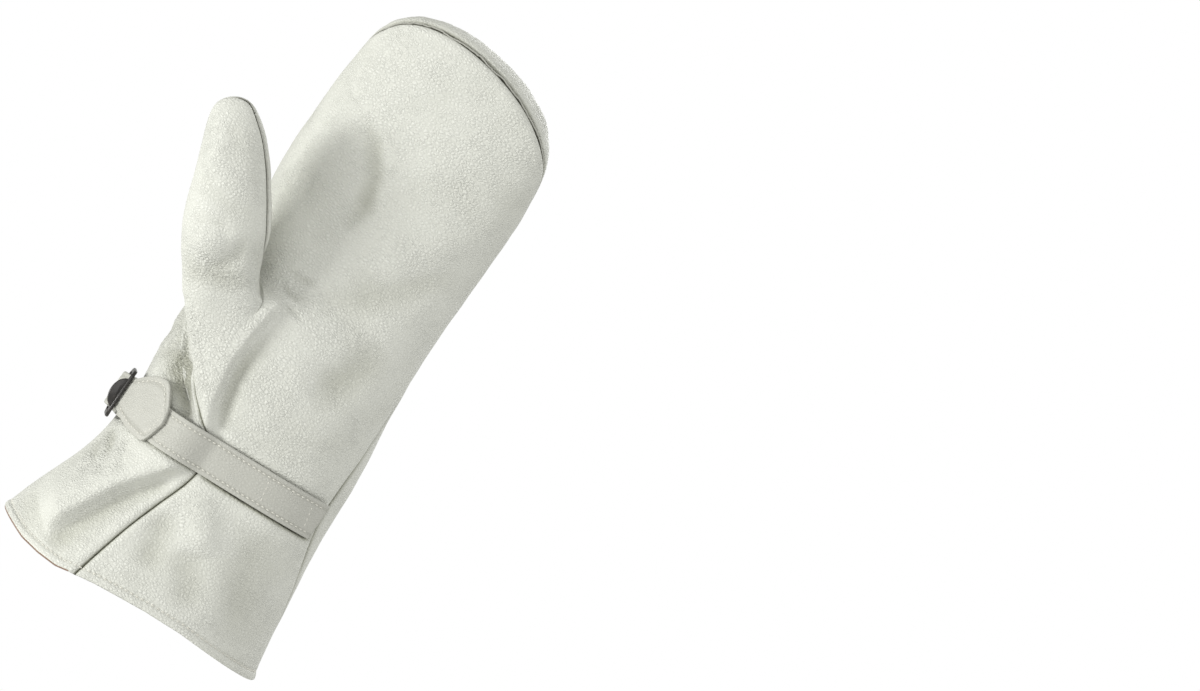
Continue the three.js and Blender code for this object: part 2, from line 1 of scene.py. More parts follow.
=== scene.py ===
"""A left-hand leather work mitten, filled out and hollow, with a wrist strap and a slide buckle.

Shapes are worked out in millimetres in the hand's frame: +Z from cuff to fingertips, -Y out of the palm,
-X to the thumb. Meshes are made in metres.
"""

import bpy
import numpy as np
from mathutils import Matrix, Vector
from mathutils.bvhtree import BVHTree
from mathutils.kdtree import KDTree


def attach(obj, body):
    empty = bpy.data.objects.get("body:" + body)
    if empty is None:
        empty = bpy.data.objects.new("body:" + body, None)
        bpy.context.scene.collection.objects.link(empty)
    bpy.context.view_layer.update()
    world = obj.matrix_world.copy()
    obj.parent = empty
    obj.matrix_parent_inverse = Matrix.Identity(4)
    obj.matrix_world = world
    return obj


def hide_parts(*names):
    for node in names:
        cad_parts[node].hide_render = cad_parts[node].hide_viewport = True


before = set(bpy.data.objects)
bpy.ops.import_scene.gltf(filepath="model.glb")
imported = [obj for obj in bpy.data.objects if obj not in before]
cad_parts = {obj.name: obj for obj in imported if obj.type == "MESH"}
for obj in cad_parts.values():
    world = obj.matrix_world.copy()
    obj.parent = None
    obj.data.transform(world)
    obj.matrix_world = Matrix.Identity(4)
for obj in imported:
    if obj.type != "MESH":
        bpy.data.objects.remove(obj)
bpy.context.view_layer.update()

MM = 0.001
rng = np.random.default_rng(7)

# ---------------------------------------------------------------- the cut and the filled-out form, in mm
LEATHER = 1.6            # glove hide
HEM_WALL = 3.2           # the hem is turned in once
HEM_DEPTH = 10.0
HEM_STITCH = 5.0         # the hem's seam above the edge
SEAM_PULL = 0.2          # how far a panel's edge stands back from the seam, outside and inside
INNER_PULL = 0.03
SQUARENESS = 2.3
THUMB_SQUARENESS = 2.1
STRAP_WIDTH = 20.5
STRAP_WALL = 2.2
CLEAR = 0.35
BEYOND = 160             # farther from the hand's axis than any point

# height, thumb-side x, little-finger-side x, y of the widest point, palm y, back y
BODY = np.array([
    [-96, -87, 77.5, 0, -54, 54],
    [-84, -84, 75.5, 0, -52, 53],
    [-62, -77, 72.5, 0, -48, 49],
    [-38, -67, 70, 0, -44, 46],
    [-16, -64, 67.5, 0, -42, 44],
    [2, -63, 67, 0, -42, 43],
    [24, -66, 66, 1, -42, 42],
    [46, -68, 63.5, 1, -41, 40],
    [67, -69, 61, 2, -38, 37],
    [84, -66, 59, 3, -36, 34],
    [95, -65, 58, 3, -34, 33],
    [100, -65, 58, 3, -33.5, 32],
    [118, -66, 58.5, 3, -32, 31],
    [140, -69, 59, 1, -31, 29.5],
    [163, -69, 60, -2, -33, 26],
])
LITTLE_FINGER_SEAM = [(-96, 0), (-62, -6), (-38, -14), (2, -32), (46, -20), (84, -4), (118, 6), (163, 8)]
BACK_SEAM = [(-96, 160), (-16, 168), (24, 171), (67, 172), (100, 168), (118, 165), (163, 172)]
PALM_SEAM = [(-96, -106), (-62, -103), (-38, -101), (-16, -94), (2, -99)]
WRIST_ROW = 5
CROTCH_ROW = 11
CROSS = 9
THUMB_CROSS = CROTCH_ROW - WRIST_ROW
# height of the cuff's edge by x, in front and behind
HEM_PALM = np.array([[-87, -90.5], [-78, -93.5], [-67, -97], [-55, -98.5], [-43, -98.8], [-32, -96.6],
                     [-20, -94.6], [-7, -93.4], [10, -92], [32, -91.6], [53, -93], [77, -94.5]])
HEM_BACK = np.array([[-87, -90.5], [-60, -95], [-25, -96.5], [15, -94.5], [50, -95.5], [77, -94.5]])
THUMB_SIDE_EDGE = [(-68, -6, 185), (-66, -14, 204), (-64, -23, 219), (-61.5, -32, 230), (-57.5, -39, 239)]
LITTLE_SIDE_EDGE = [(60, -9, 180), (60, -17, 196), (59, -25, 208), (57, -33, 217), (53, -40, 225)]
TIP_SEAM = [(-49, -47, 247), (-35, -53, 252), (-20.5, -57, 253.5), (-6, -59, 252),
            (8, -59.5, 249), (21.5, -57.5, 244), (34, -53.5, 237.5), (44.5, -47, 230)]
PALM_MIDDLE = [(-38, 184), (-45, 204), (-51, 222), (-56, 239)]
BACK_MIDDLE = [(20, 189), (9, 216), (-10, 243), (-40, 264)]
THUMB_ROOT = [(-23, -42, 24), (-27, -43, 46), (-29, -42, 67), (-30.5, -41, 77), (-31, -38, 85)]
INDEX_CORNER = -61.0
THUMB_ACROSS = np.array([0.82, 0, 0.57])
THUMB_SEAM_ANGLE = -24
# centre, half width, half depth, share of its own shape against the root's
THUMB = np.array([
    [-47, -32, 60, 31, 21, 0.32],
    [-52, -37, 75.5, 29, 20, 0.66],
    [-59, -43, 87, 27, 19, 0.88],
    [-66.5, -48, 99, 25.4, 18.5, 1],
    [-73, -53, 112, 24, 17.5, 1],
    [-80, -57, 127, 21.4, 16.5, 1],
    [-87.5, -60, 140.5, 18.8, 15, 1],
    [-94.5, -62, 149.5, 15.4, 12.5, 1],
])
CROTCH_LAG = 1.5
CROTCH_SKIVE = 0.7
CROTCH_MIDDLE = np.array([-48, -20, 94])
CROTCH_REACH = 22
THUMB_TIP_REACH = 19.5
THUMB_TIP_NARROWING = 0.78
PALM, BACK, THUMB_SIDE = 0, 1, 2
# ---------------------------------------------------------------- strap, loop and buckle, in mm
# the strap's free end: a fan whose top leans towards the fingers; x, low edge and high edge in the palm view
FAN = np.array([
    [-74, -15.2, 5.2], [-68, -13.2, 5.8], [-63.8, -13.0, 6.2], [-60, -15.2, 10.3], [-55, -17.2, 13.9],
    [-52, -17.9, 15.0], [-48.5, -18.4, 15.3], [-46.5, -18.6, 14.2], [-45, -18.7, 12.5], [-43, -18.5, 9.6],
    [-41.8, -17.8, 7.4], [-40.4, -14.8, 5.2], [-39.2, -11.2, 2.6], [-38.3, -7.6, -0.6], [-38, -5.2, -3.2],
])
STRAP_LEVEL = -5.0       # height of the buckle's and the loop's middle
LEVEL = np.array([[-70, STRAP_LEVEL], [-37, -6.4], [58, -2.8]])   # height of the strap's middle line by x
STRAP_START = -23.5      # angles round the wrist: the seam end, the turn into the buckle, past the fan's tip
STRAP_TURN = -146
FAN_END = -122
STITCH_INSET = 2.5
BUCKLE_DEG = -173
BUCKLE_LIFT = 6.0
BUCKLE_HEIGHT = 29.5
BUCKLE_DEPTH = 27.0
BUCKLE_BAR = 2.8
BUCKLE_WALL = 2.0
LEVER_HALF = 9.0
LEVER_HEIGHT = 5.8
LEVER_WALL = 1.6
LOOP_WALL = 1.6
LOOP_START = 153
LOOP_TURN = 159


def power(v, exponent=SQUARENESS):
    """v to the power 2 / exponent, with v's sign kept: the superellipse's cosine or sine."""
    return np.sign(v) * np.abs(v) ** (2 / exponent)


def seam_angle(table, z):
    """Angle of a seam at height z, on straight lines between the table's rows."""
    rows = np.array(table, float)
    return np.interp(z, rows[:, 0], rows[:, 1])


def body_point(z, deg):
    """Point of the body: x is centre plus half width times cos^(2/n), y the depth times |sin|^(2/n)."""
    z, deg = np.broadcast_arrays(np.asarray(z, float), np.asarray(deg, float))
    left, right, middle, front, back = (np.interp(z, BODY[:, 0], BODY[:, c]) for c in range(1, 6))
    turn = np.radians(deg)
    x = (left + right) / 2 + (right - left) / 2 * power(np.cos(turn))
    depth = np.where(np.sin(turn) < 0, front - middle, back - middle)
    return np.stack([x, middle + depth * np.abs(power(np.sin(turn))), z], -1)


def palm_angle(z, x):
    """Angle on the palm side at which the body's section at height z has this x."""
    left, right = (np.interp(z, BODY[:, 0], BODY[:, c]) for c in (1, 2))
    c = np.clip((2 * x - left - right) / (right - left), -1, 1)
    return -np.degrees(np.arccos(np.sign(c) * np.abs(c) ** (SQUARENESS / 2)))


def cross_arc(start, end, middle):
    """Superellipse arc from one side edge to the other, whose middle has the given y and z."""
    a, b = np.array(start, float), np.array(end, float)
    turn = np.linspace(0, np.pi, CROSS + 1)[:, None]
    centre = (a + b) / 2
    rise = np.array([0, middle[0] - centre[1], middle[1] - centre[2]])
    return centre - (b - a) / 2 * power(np.cos(turn)) + rise * np.abs(power(np.sin(turn)))


def panel_grids():
    """The grids of the panels: rows by height, columns across; the thumb's rows run from root to tip."""
    heights = BODY[:, 0]
    little = seam_angle(LITTLE_FINGER_SEAM, heights)
    seam = seam_angle(BACK_SEAM, heights)
    palm_seam = seam_angle(PALM_SEAM, heights)
    wrist_z, crotch_z = heights[WRIST_ROW], heights[CROTCH_ROW]
    root = np.array([body_point(wrist_z, palm_seam[WRIST_ROW]), *THUMB_ROOT,
                     body_point(crotch_z, seam[CROTCH_ROW])])
    palm, back, side = [], [], []
    for i, z in enumerate(heights):
        back.append(body_point(z, np.linspace(seam[i], little[i], CROSS + 1)))
        if i <= WRIST_ROW:
            row = body_point(z, np.linspace(palm_seam[i], little[i], CROSS + 1))
        elif i < CROTCH_ROW:
            start = root[i - WRIST_ROW]
            row = body_point(z, np.linspace(palm_angle(z, start[0]), little[i], CROSS + 1))
            row += (start - row[0]) * np.exp(-(np.arange(CROSS + 1) / 1.6) ** 2)[:, None]
        else:
            spread = min((i - CROTCH_ROW) / 3, 1)
            even = np.linspace(seam[i] - 360, little[i], CROSS + 1)
            fanned = np.linspace(palm_angle(z, INDEX_CORNER), little[i], CROSS + 1)
            degrees = fanned + (even - fanned) * spread
            degrees[0] = even[0]
            row = body_point(z, degrees)
        palm.append(row)
        if i <= WRIST_ROW:
            side.append(body_point(z, np.linspace(palm_seam[i] + 360, seam[i], THUMB_CROSS + 1)))
        elif i <= CROTCH_ROW:
            s = np.linspace(0, 1, THUMB_CROSS + 1)
            start = palm_seam[WRIST_ROW] + 360
            side.append(body_point(wrist_z + (z - wrist_z) * s ** 1.5, start + (seam[i] - start) * s))
    for k in range(len(PALM_MIDDLE)):
        palm.append(cross_arc(THUMB_SIDE_EDGE[k], LITTLE_SIDE_EDGE[k], PALM_MIDDLE[k]))
        back.append(cross_arc(THUMB_SIDE_EDGE[k], LITTLE_SIDE_EDGE[k], BACK_MIDDLE[k]))
    tip = np.array([THUMB_SIDE_EDGE[-1], *TIP_SEAM, LITTLE_SIDE_EDGE[-1]], float)
    palm.append(tip)
    back.append(tip)
    for i in range(WRIST_ROW, CROTCH_ROW + 1):
        palm[i][0] = root[i - WRIST_ROW]
    front, back_root = [root], side[CROTCH_ROW]
    centres = THUMB[:, :3]
    for m, (_, _, _, half_width, half_depth, share) in enumerate(THUMB):
        along = centres[min(m + 1, len(THUMB) - 1)] - centres[max(m - 1, 0)]
        along /= np.linalg.norm(along)
        across = THUMB_ACROSS - THUMB_ACROSS.dot(along) * along
        across /= np.linalg.norm(across)
        out = np.cross(across, along)
        lag = share ** (1 + CROTCH_LAG * (np.arange(THUMB_CROSS + 1) / THUMB_CROSS) ** 2)
        for rows, base, first in ((front, root, -180), (side, back_root, 180)):
            turn = np.radians(np.linspace(first, THUMB_SEAM_ANGLE, THUMB_CROSS + 1))
            section = (centres[m] + np.outer(half_width * power(np.cos(turn), THUMB_SQUARENESS), across)
                       - np.outer(half_depth * power(np.sin(turn), THUMB_SQUARENESS), out))
            rows.append(base + (section - base) * lag[:, None])
        turn = np.linspace(np.pi, 0, THUMB_CROSS + 1)
        reach = 3 + THUMB_TIP_REACH * np.abs(np.sin(turn)) ** 0.8
        tip = (centres[m] + np.outer(half_width * THUMB_TIP_NARROWING * np.cos(turn), across)
               + np.outer(reach, along) + out * 3)
    front.append(tip)
    side.append(tip)
    return [(PALM, palm, False), (PALM, front, False), (BACK, back, True), (THUMB_SIDE, side, True)]


def joined_cage():
    """The grids as one net: points, and corner lists with the face and the next corner of each."""
    points, number, corners, face_of, following, panel_of = [], {}, [], [], [], []
    for panel, rows, flip in panel_grids():
        keys = []
        for row in rows:
            keys.append([])
            for p in row:
                key = tuple(np.round(p * 100).astype(int))
                if key not in number:
                    number[key] = len(points)
                    points.append(p)
                keys[-1].append(number[key])
        for low, high in zip(keys, keys[1:]):
            for j in range(len(low) - 1):
                cell = list(dict.fromkeys([low[j], low[j + 1], high[j + 1], high[j]]))
                cell = cell[::-1] if flip else cell
                first = len(corners)
                following += [first + (k + 1) % len(cell) for k in range(len(cell))]
                face_of += [len(panel_of)] * len(cell)
                corners += cell
                panel_of.append(panel)
    return np.array(points), np.array(corners), np.array(face_of), np.array(following), np.array(panel_of)


def smoothed(points, corners, face_of, following, panel_of):
    """One round of Catmull-Clark: face points, edge points, then (F + 2R + (n - 3)P) / n at the old points.

    Open edges are smoothed along themselves only. Every corner of the net gives one four-sided face.
    """
    count, faces = len(points), len(panel_of)
    ends = np.sort(np.stack([corners, corners[following]], 1), 1)
    edges, edge_of, uses = np.unique(ends, axis=0, return_inverse=True, return_counts=True)
    edge_of = edge_of.reshape(-1)
    total = lambda index, values, size: np.stack([np.bincount(index, v, size) for v in values.T], 1)
    middles = total(face_of, points[corners], faces) / np.bincount(face_of, minlength=faces)[:, None]
    halves = points[edges].mean(1)
    shared = (halves * 2 + total(edge_of, middles[face_of], len(edges))) / 4
    edge_points = np.where((uses == 2)[:, None], shared, halves)
    valence = np.bincount(corners, minlength=count)[:, None]
    near_faces = total(corners, middles[face_of], count) / valence
    edge_valence = np.bincount(edges.ravel(), minlength=count)[:, None]
    near_edges = total(edges.ravel(), np.repeat(halves, 2, axis=0), count) / edge_valence
    moved = (near_faces + 2 * near_edges + (valence - 3) * points) / valence
    rim = edges[uses == 1]
    rim_sum = total(rim.ravel(), np.repeat(halves[uses == 1], 2, axis=0), count)
    on_rim = np.bincount(rim.ravel(), minlength=count) > 0
    moved[on_rim] = points[on_rim] / 2 + rim_sum[on_rim] / 4
    before = np.empty(len(corners), int)
    before[following] = np.arange(len(corners))
    quads = np.stack([corners, count + faces + edge_of, count + face_of, count + faces + edge_of[before]], 1)
    following = np.arange(quads.size).reshape(-1, 4)[:, [1, 2, 3, 0]].ravel()
    return (np.concatenate([moved, middles, edge_points]), quads.ravel(),
            np.repeat(np.arange(len(quads)), 4), following, panel_of[face_of])


def normals_of(points, quads):
    """Unit normal at each point: the sum of the crossed diagonals of the faces round it."""
    a, b, c, d = (points[quads[:, k]] for k in range(4))
    face = np.cross(c - a, d - b)
    out = np.stack([np.bincount(quads.ravel(), np.repeat(face[:, k], 4), len(points)) for k in range(3)], 1)
    return out / np.maximum(np.linalg.norm(out, axis=1), 1e-9)[:, None]


# ---------------------------------------------------------------- creases, placed one by one
def line_fade(q, path, width, taper=0.0):
    """1 on a line through the path's points and falling off as exp(-(distance / width)^2).

    A pair of widths gives the sides to the left and to the right of the path, going along it. With a taper
    the height also falls to nothing over that share of the length at both ends.
    """
    path = np.array(path, float)
    q = q[:, [0, 2]]
    widths = np.broadcast_to(np.array(width, float), 2)
    lengths = np.linalg.norm(np.diff(path, axis=0), axis=1)
    starts = np.concatenate([[0], np.cumsum(lengths)])
    best = np.full(len(q), 1e9)
    place = np.zeros(len(q))
    left = np.zeros(len(q), bool)
    for k, run in enumerate(np.diff(path, axis=0)):
        t = np.clip(((q - path[k]) @ run) / (run @ run), 0, 1)
        away = q - path[k] - t[:, None] * run
        distance = np.linalg.norm(away, axis=1)
        closer = distance < best
        best[closer] = distance[closer]
        place[closer] = (starts[k] + t * lengths[k])[closer] / starts[-1]
        left[closer] = (run[0] * away[:, 1] - run[1] * away[:, 0])[closer] > 0
    fade = np.exp(-(best / np.where(left, widths[0], widths[1])) ** 2)
    if taper:
        fade = fade * np.clip(np.minimum(place, 1 - place) / taper, 0, 1) ** 0.7
    return fade


def blob(q, centre, radii, turn=0.0):
    """1 at the centre, falling off as a Gaussian with two radii in x and z, turned by an angle."""
    c, s = np.cos(np.radians(turn)), np.sin(np.radians(turn))
    dx, dz = q[:, 0] - centre[0], q[:, 2] - centre[1]
    return np.exp(-(((dx * c + dz * s) / radii[0]) ** 2 + ((dz * c - dx * s) / radii[1]) ** 2))


def ramp(v, low, high):
    """Smooth step from 0 at low to 1 at high."""
    t = np.clip((v - low) / (high - low), 0, 1)
    return t * t * (3 - 2 * t)


# kind, path or centre in x and z, size, height, taper or turn
PALM_FOLDS = [
    # the pleat down from the crotch, and its shaded side
    ("line", [(-22, 90), (-26, 66), (-27, 44), (-23, 22), (-17, 6), (-15, -6)], (3.6, 14.0), 5.0, 0.16),
    ("line", [(-18, 66), (-20, 50), (-20, 36), (-15, 16), (-10, 0)], (6.0, 4.6), -2.3, 0.35),
    # the hollow beside the strap's fan
    ("line", [(-54, 34), (-43, 20), (-34, 12), (-25, 3)], (4.0, 7.0), -6.5, 0.15),
    ("line", [(4, 70), (8, 44), (8, 16)], 12.0, 1.0, 0.2),
    # the swell at the knuckle, the crescent past it and the dent on its thumb side
    ("blob", (-40, 157), (17, 19), 2.6, 20),
    ("line", [(-42, 190), (-28, 182), (-18, 168), (-14, 150), (-18, 134)], (4.5, 9.0), -2.7, 0.3),
    ("blob", (-50, 137), (7, 10), -2.6, 0),
    ("line", [(50, 158), (40, 140), (26, 124), (8, 106), (-6, 96)], 10.0, -2.2, 0.3),
    ("line", [(44, 172), (24, 146), (6, 124)], 13.0, 1.1, 0.25),
    ("line", [(16, 52), (30, 70), (38, 96)], 10.0, -2.2, 0.3),
    ("blob", (4, 72), (16, 15), 1.4, 0),
    # the long fold of the cuff and the slope under it
    ("line", [(-14, -13), (-38, -45), (-60, -84)], (2.8, 16.0), 8.4, 0.14),
    ("line", [(-18, -24), (-33, -46), (-47, -72), (-52, -90)], (7.0, 5.0), -2.4, 0.12),
    ("line", [(-72, -30), (-72, -58), (-80, -92)], 9.0, -1.2, 0.15),
    ("line", [(-6, -22), (8, -34), (20, -52)], 9.0, 3.2, 0.25),
    ("line", [(-8, -40), (-6, -56), (-2, -76)], 8.0, -2.2, 0.25),
    ("line", [(8, -56), (20, -68), (28, -84)], 9.0, -1.6, 0.3),
    ("line", [(42, -20), (46, -50), (58, -86)], 12.0, -1.6, 0.25),
    ("line", [(-62, -22), (-55, -34), (-50, -48)], 3.2, -2.2, 0.2),
    ("line", [(-68, -30), (-59, -41), (-56, -54)], 3.2, -1.6, 0.2),
    ("line", [(-50, -20), (-45, -30), (-41, -40)], 3.0, -1.4, 0.2),
    ("line", [(-30, 94), (-22, 90), (-10, 93)], 2.0, -1.1, 0.3),
    ("line", [(-28, 88), (-18, 84), (-7, 83)], 2.0, -1.1, 0.3),
    ("line", [(-31, 101), (-22, 99), (-12, 102)], 2.2, -0.9, 0.3),
]
# a swell over the thumb's middle joint, and the creases that cross it
THUMB_FOLDS = [
    ("blob", (-70, 90), (9, 8), 3.0, 0),
    ("line", [(-86, 98), (-78, 96), (-70, 100), (-62, 99)], (4.0, 3.0), -1.5, 0.3),
    ("line", [(-66, 80), (-58, 83), (-54, 92), (-54, 104)], 4.0, -1.4, 0.3),
    ("blob", (-91, 134), (7, 9), 1.3, 30),
    ("line", [(-80, 78), (-66, 72), (-48, 78), (-34, 84)], 6.0, -1.2, 0.25),
    ("line", [(-94, 120), (-84, 112), (-70, 112), (-58, 116)], 6.0, -1.0, 0.25),
    ("line", [(-96, 152), (-88, 140), (-84, 126)], 5.0, -0.8, 0.25),
]
# upright wrinkles on the thumb side of the wrist, above the buckle
SIDE_FOLDS = [
    ("line", [(-62, 20), (-57, 36), (-61, 52)], 3.4, -1.7, 0.25),
    ("line", [(-54, 14), (-50, 28), (-54, 44)], 3.2, -1.5, 0.25),
    ("line", [(-68, 30), (-64, 44), (-68, 60)], 3.0, -1.3, 0.25),
    ("line", [(-48, 10), (-43, 20), (-44, 34)], 2.6, -1.4, 0.25),
]
# the back of the hand: transverse creases at the wrist, dents behind the knuckles and at the cuff
BACK_FOLDS = [
    ("line", [(-56, 52), (-36, 46), (-10, 40), (12, 44)], 4.0, -1.7, 0.25),
    ("line", [(-58, 66), (-40, 62), (-18, 54)], 3.4, -1.3, 0.25),
    ("line", [(-56, 82), (-34, 84), (-16, 78)], 4.0, -1.1, 0.25),
    ("line", [(52, 60), (34, 46), (22, 28), (24, 8)], 7.0, -1.9, 0.2),
    ("line", [(60, 30), (48, 16), (42, -4)], 7.0, 1.7, 0.2),
    ("blob", (30, 8), (14, 12), -1.9, 0),
    ("line", [(-50, -38), (-42, -62), (-44, -88)], 6.0, -1.5, 0.2),
    ("line", [(46, -36), (56, -64), (58, -90)], 8.0, -1.8, 0.2),
    ("blob", (0, 140), (26, 20), 1.0, 0),
    ("line", [(-50, 176), (-20, 168), (16, 172), (44, 166)], 8.0, -1.0, 0.25),
]


def fold_height(q, folds):
    """Sum of the ridges and troughs of a list at each point."""
    height = np.zeros(len(q))
    for kind, place, size, tall, extra in folds:
        shape = line_fade(q, place, size, extra) if kind == "line" else blob(q, place, size, extra)
        height += tall * shape
    return height


def waves(q, scale, count, seed):
    """Smooth, seeded, uneven swell: the mean of plane waves in many directions, about the given length."""
    draw = np.random.default_rng(seed)
    out = np.zeros(len(q))
    for _ in range(count):
        direction = draw.normal(size=3)
        direction *= 2 * np.pi / (scale * draw.uniform(0.7, 1.5)) / np.linalg.norm(direction)
        out += np.sin(q @ direction + draw.uniform(0, 2 * np.pi))
    return out / np.sqrt(count)


def crumple(q, scale, seed):
    """Sharp little creases: (1 - |swell|) squared, so that the valleys are narrow lines."""
    return np.clip(1 - np.abs(waves(q, scale, 9, seed)), 0, 1) ** 2


def relief(points, normals, on_thumb, from_seam):
    """Height in mm that the form gains at each point, and how much the leather is squeezed there."""
    q, y = points, normals[:, 1]
    palm_side = ramp(-y, 0.05, 0.5) * (1 - on_thumb)
    back_side = ramp(y, 0.05, 0.5) * (1 - on_thumb)
    height = fold_height(q, PALM_FOLDS) * palm_side
    height += fold_height(q, THUMB_FOLDS) * ramp(-y, -0.2, 0.3) * on_thumb
    height += fold_height(q, SIDE_FOLDS) * ramp(-normals[:, 0], 0.1, 0.6)
    height += fold_height(q, BACK_FOLDS) * back_side
    # the strap draws the wrist in, and the leather stands up along both its edges
    from_strap = np.abs(q[:, 2] - np.interp(q[:, 0], LEVEL[:, 0], LEVEL[:, 1]))
    drawn = 0.8 * np.exp(-((from_strap - 14.5) / 4) ** 2) - 1.5 * (1 - ramp(from_strap, 8.5, 12.5))
    height += drawn * palm_side * ramp(-q[:, 0], -60, -50)
    # little puckers where the back is gathered into the fingertip seam
    gathered = ramp(q[:, 2], 205, 228) * ramp(q[:, 1], -62, -50) * ramp(-q[:, 1], 8, 30)
    gathered *= 1 - ramp(-y, 0.3, 0.8)
    height -= 0.3 * gathered * crumple(q * np.array([1.0, 0.15, 0.25]), 9, 11)
    height += 0.4 * waves(q, 62, 8, 3) + 0.16 * waves(q, 24, 9, 4)
    creased = (0.42 * np.exp(-(((q[:, 2] - 40) / 24) ** 2)) * ramp(-normals[:, 0], -0.2, 0.7)
               + 0.45 * blob(q, (-24, 90), (16, 12)) * palm_side
               + 0.45 * blob(q, (-60, -32), (14, 16)) * palm_side
               + 0.35 * np.exp(-(((q[:, 2] - 52) / 26) ** 2)) * back_side * ramp(-q[:, 0], -10, 45)
               + 0.3 * blob(q, (-62, 78), (22, 9), 20) * on_thumb
               + 0.5 * np.exp(-(np.linalg.norm(q - np.array([40, -38, 240]), axis=1) / 16) ** 2))
    creased *= ramp(from_seam, 1.5, 7)
    height -= 0.8 * creased * crumple(q * np.array([1.0, 1.0, 1.7]), 16, 5)
    height -= 0.45 * creased * crumple(q * np.array([1.0, 1.0, 1.7]), 8, 6)
    return height, np.clip(creased, 0, 1)


def distance_to(points, targets):
    """Distance from each point to the nearest target."""
    tree = KDTree(len(targets))
    for k, t in enumerate(targets):
        tree.insert(t, k)
    tree.balance()
    return np.array([tree.find(p)[2] for p in points])


# ---------------------------------------------------------------- meshes
def make_object(name, points, polygons, smooth=True):
    """A mesh object at the origin from points in mm and lists of corners."""
    mesh = bpy.data.meshes.new(name)
    mesh.from_pydata((np.asarray(points) * MM).tolist(), [], [list(map(int, f)) for f in polygons])
    mesh.polygons.foreach_set("use_smooth", np.full(len(mesh.polygons), smooth))
    mesh.update()
    obj = bpy.data.objects.new(name, mesh)
    bpy.context.scene.collection.objects.link(obj)
    return obj


def set_attribute(obj, name, values):
    """A number at each point, which a material reads by name."""
    data = obj.data.attributes.new(name, "FLOAT", "POINT").data
    data.foreach_set("value", np.asarray(values, np.float32))


def seams_between(quads, panel_of, first, second):
    """Edges whose two faces lie in the two panels, as pairs of point numbers."""
    ends = np.sort(np.stack([quads, np.roll(quads, -1, 1)], -1).reshape(-1, 2), 1)
    face = np.repeat(np.arange(len(quads)), 4)
    edges, edge_of = np.unique(ends, axis=0, return_inverse=True)
    low = np.full(len(edges), 99)
    high = np.full(len(edges), -1)
    np.minimum.at(low, edge_of.reshape(-1), panel_of[face])
    np.maximum.at(high, edge_of.reshape(-1), panel_of[face])
    return edges[(low == min(first, second)) & (high == max(first, second))]


def chained(pairs):
    """The points of a string of edges in order, from one of its two ends."""
    following = {}
    for a, b in pairs.tolist():
        following.setdefault(a, []).append(b)
        following.setdefault(b, []).append(a)
    line = [min(k for k, v in following.items() if len(v) == 1)]
    while True:
        onward = [k for k in following[line[-1]] if len(line) < 2 or k != line[-2]]
        if not onward:
            return np.array(line)
        line.append(onward[0])


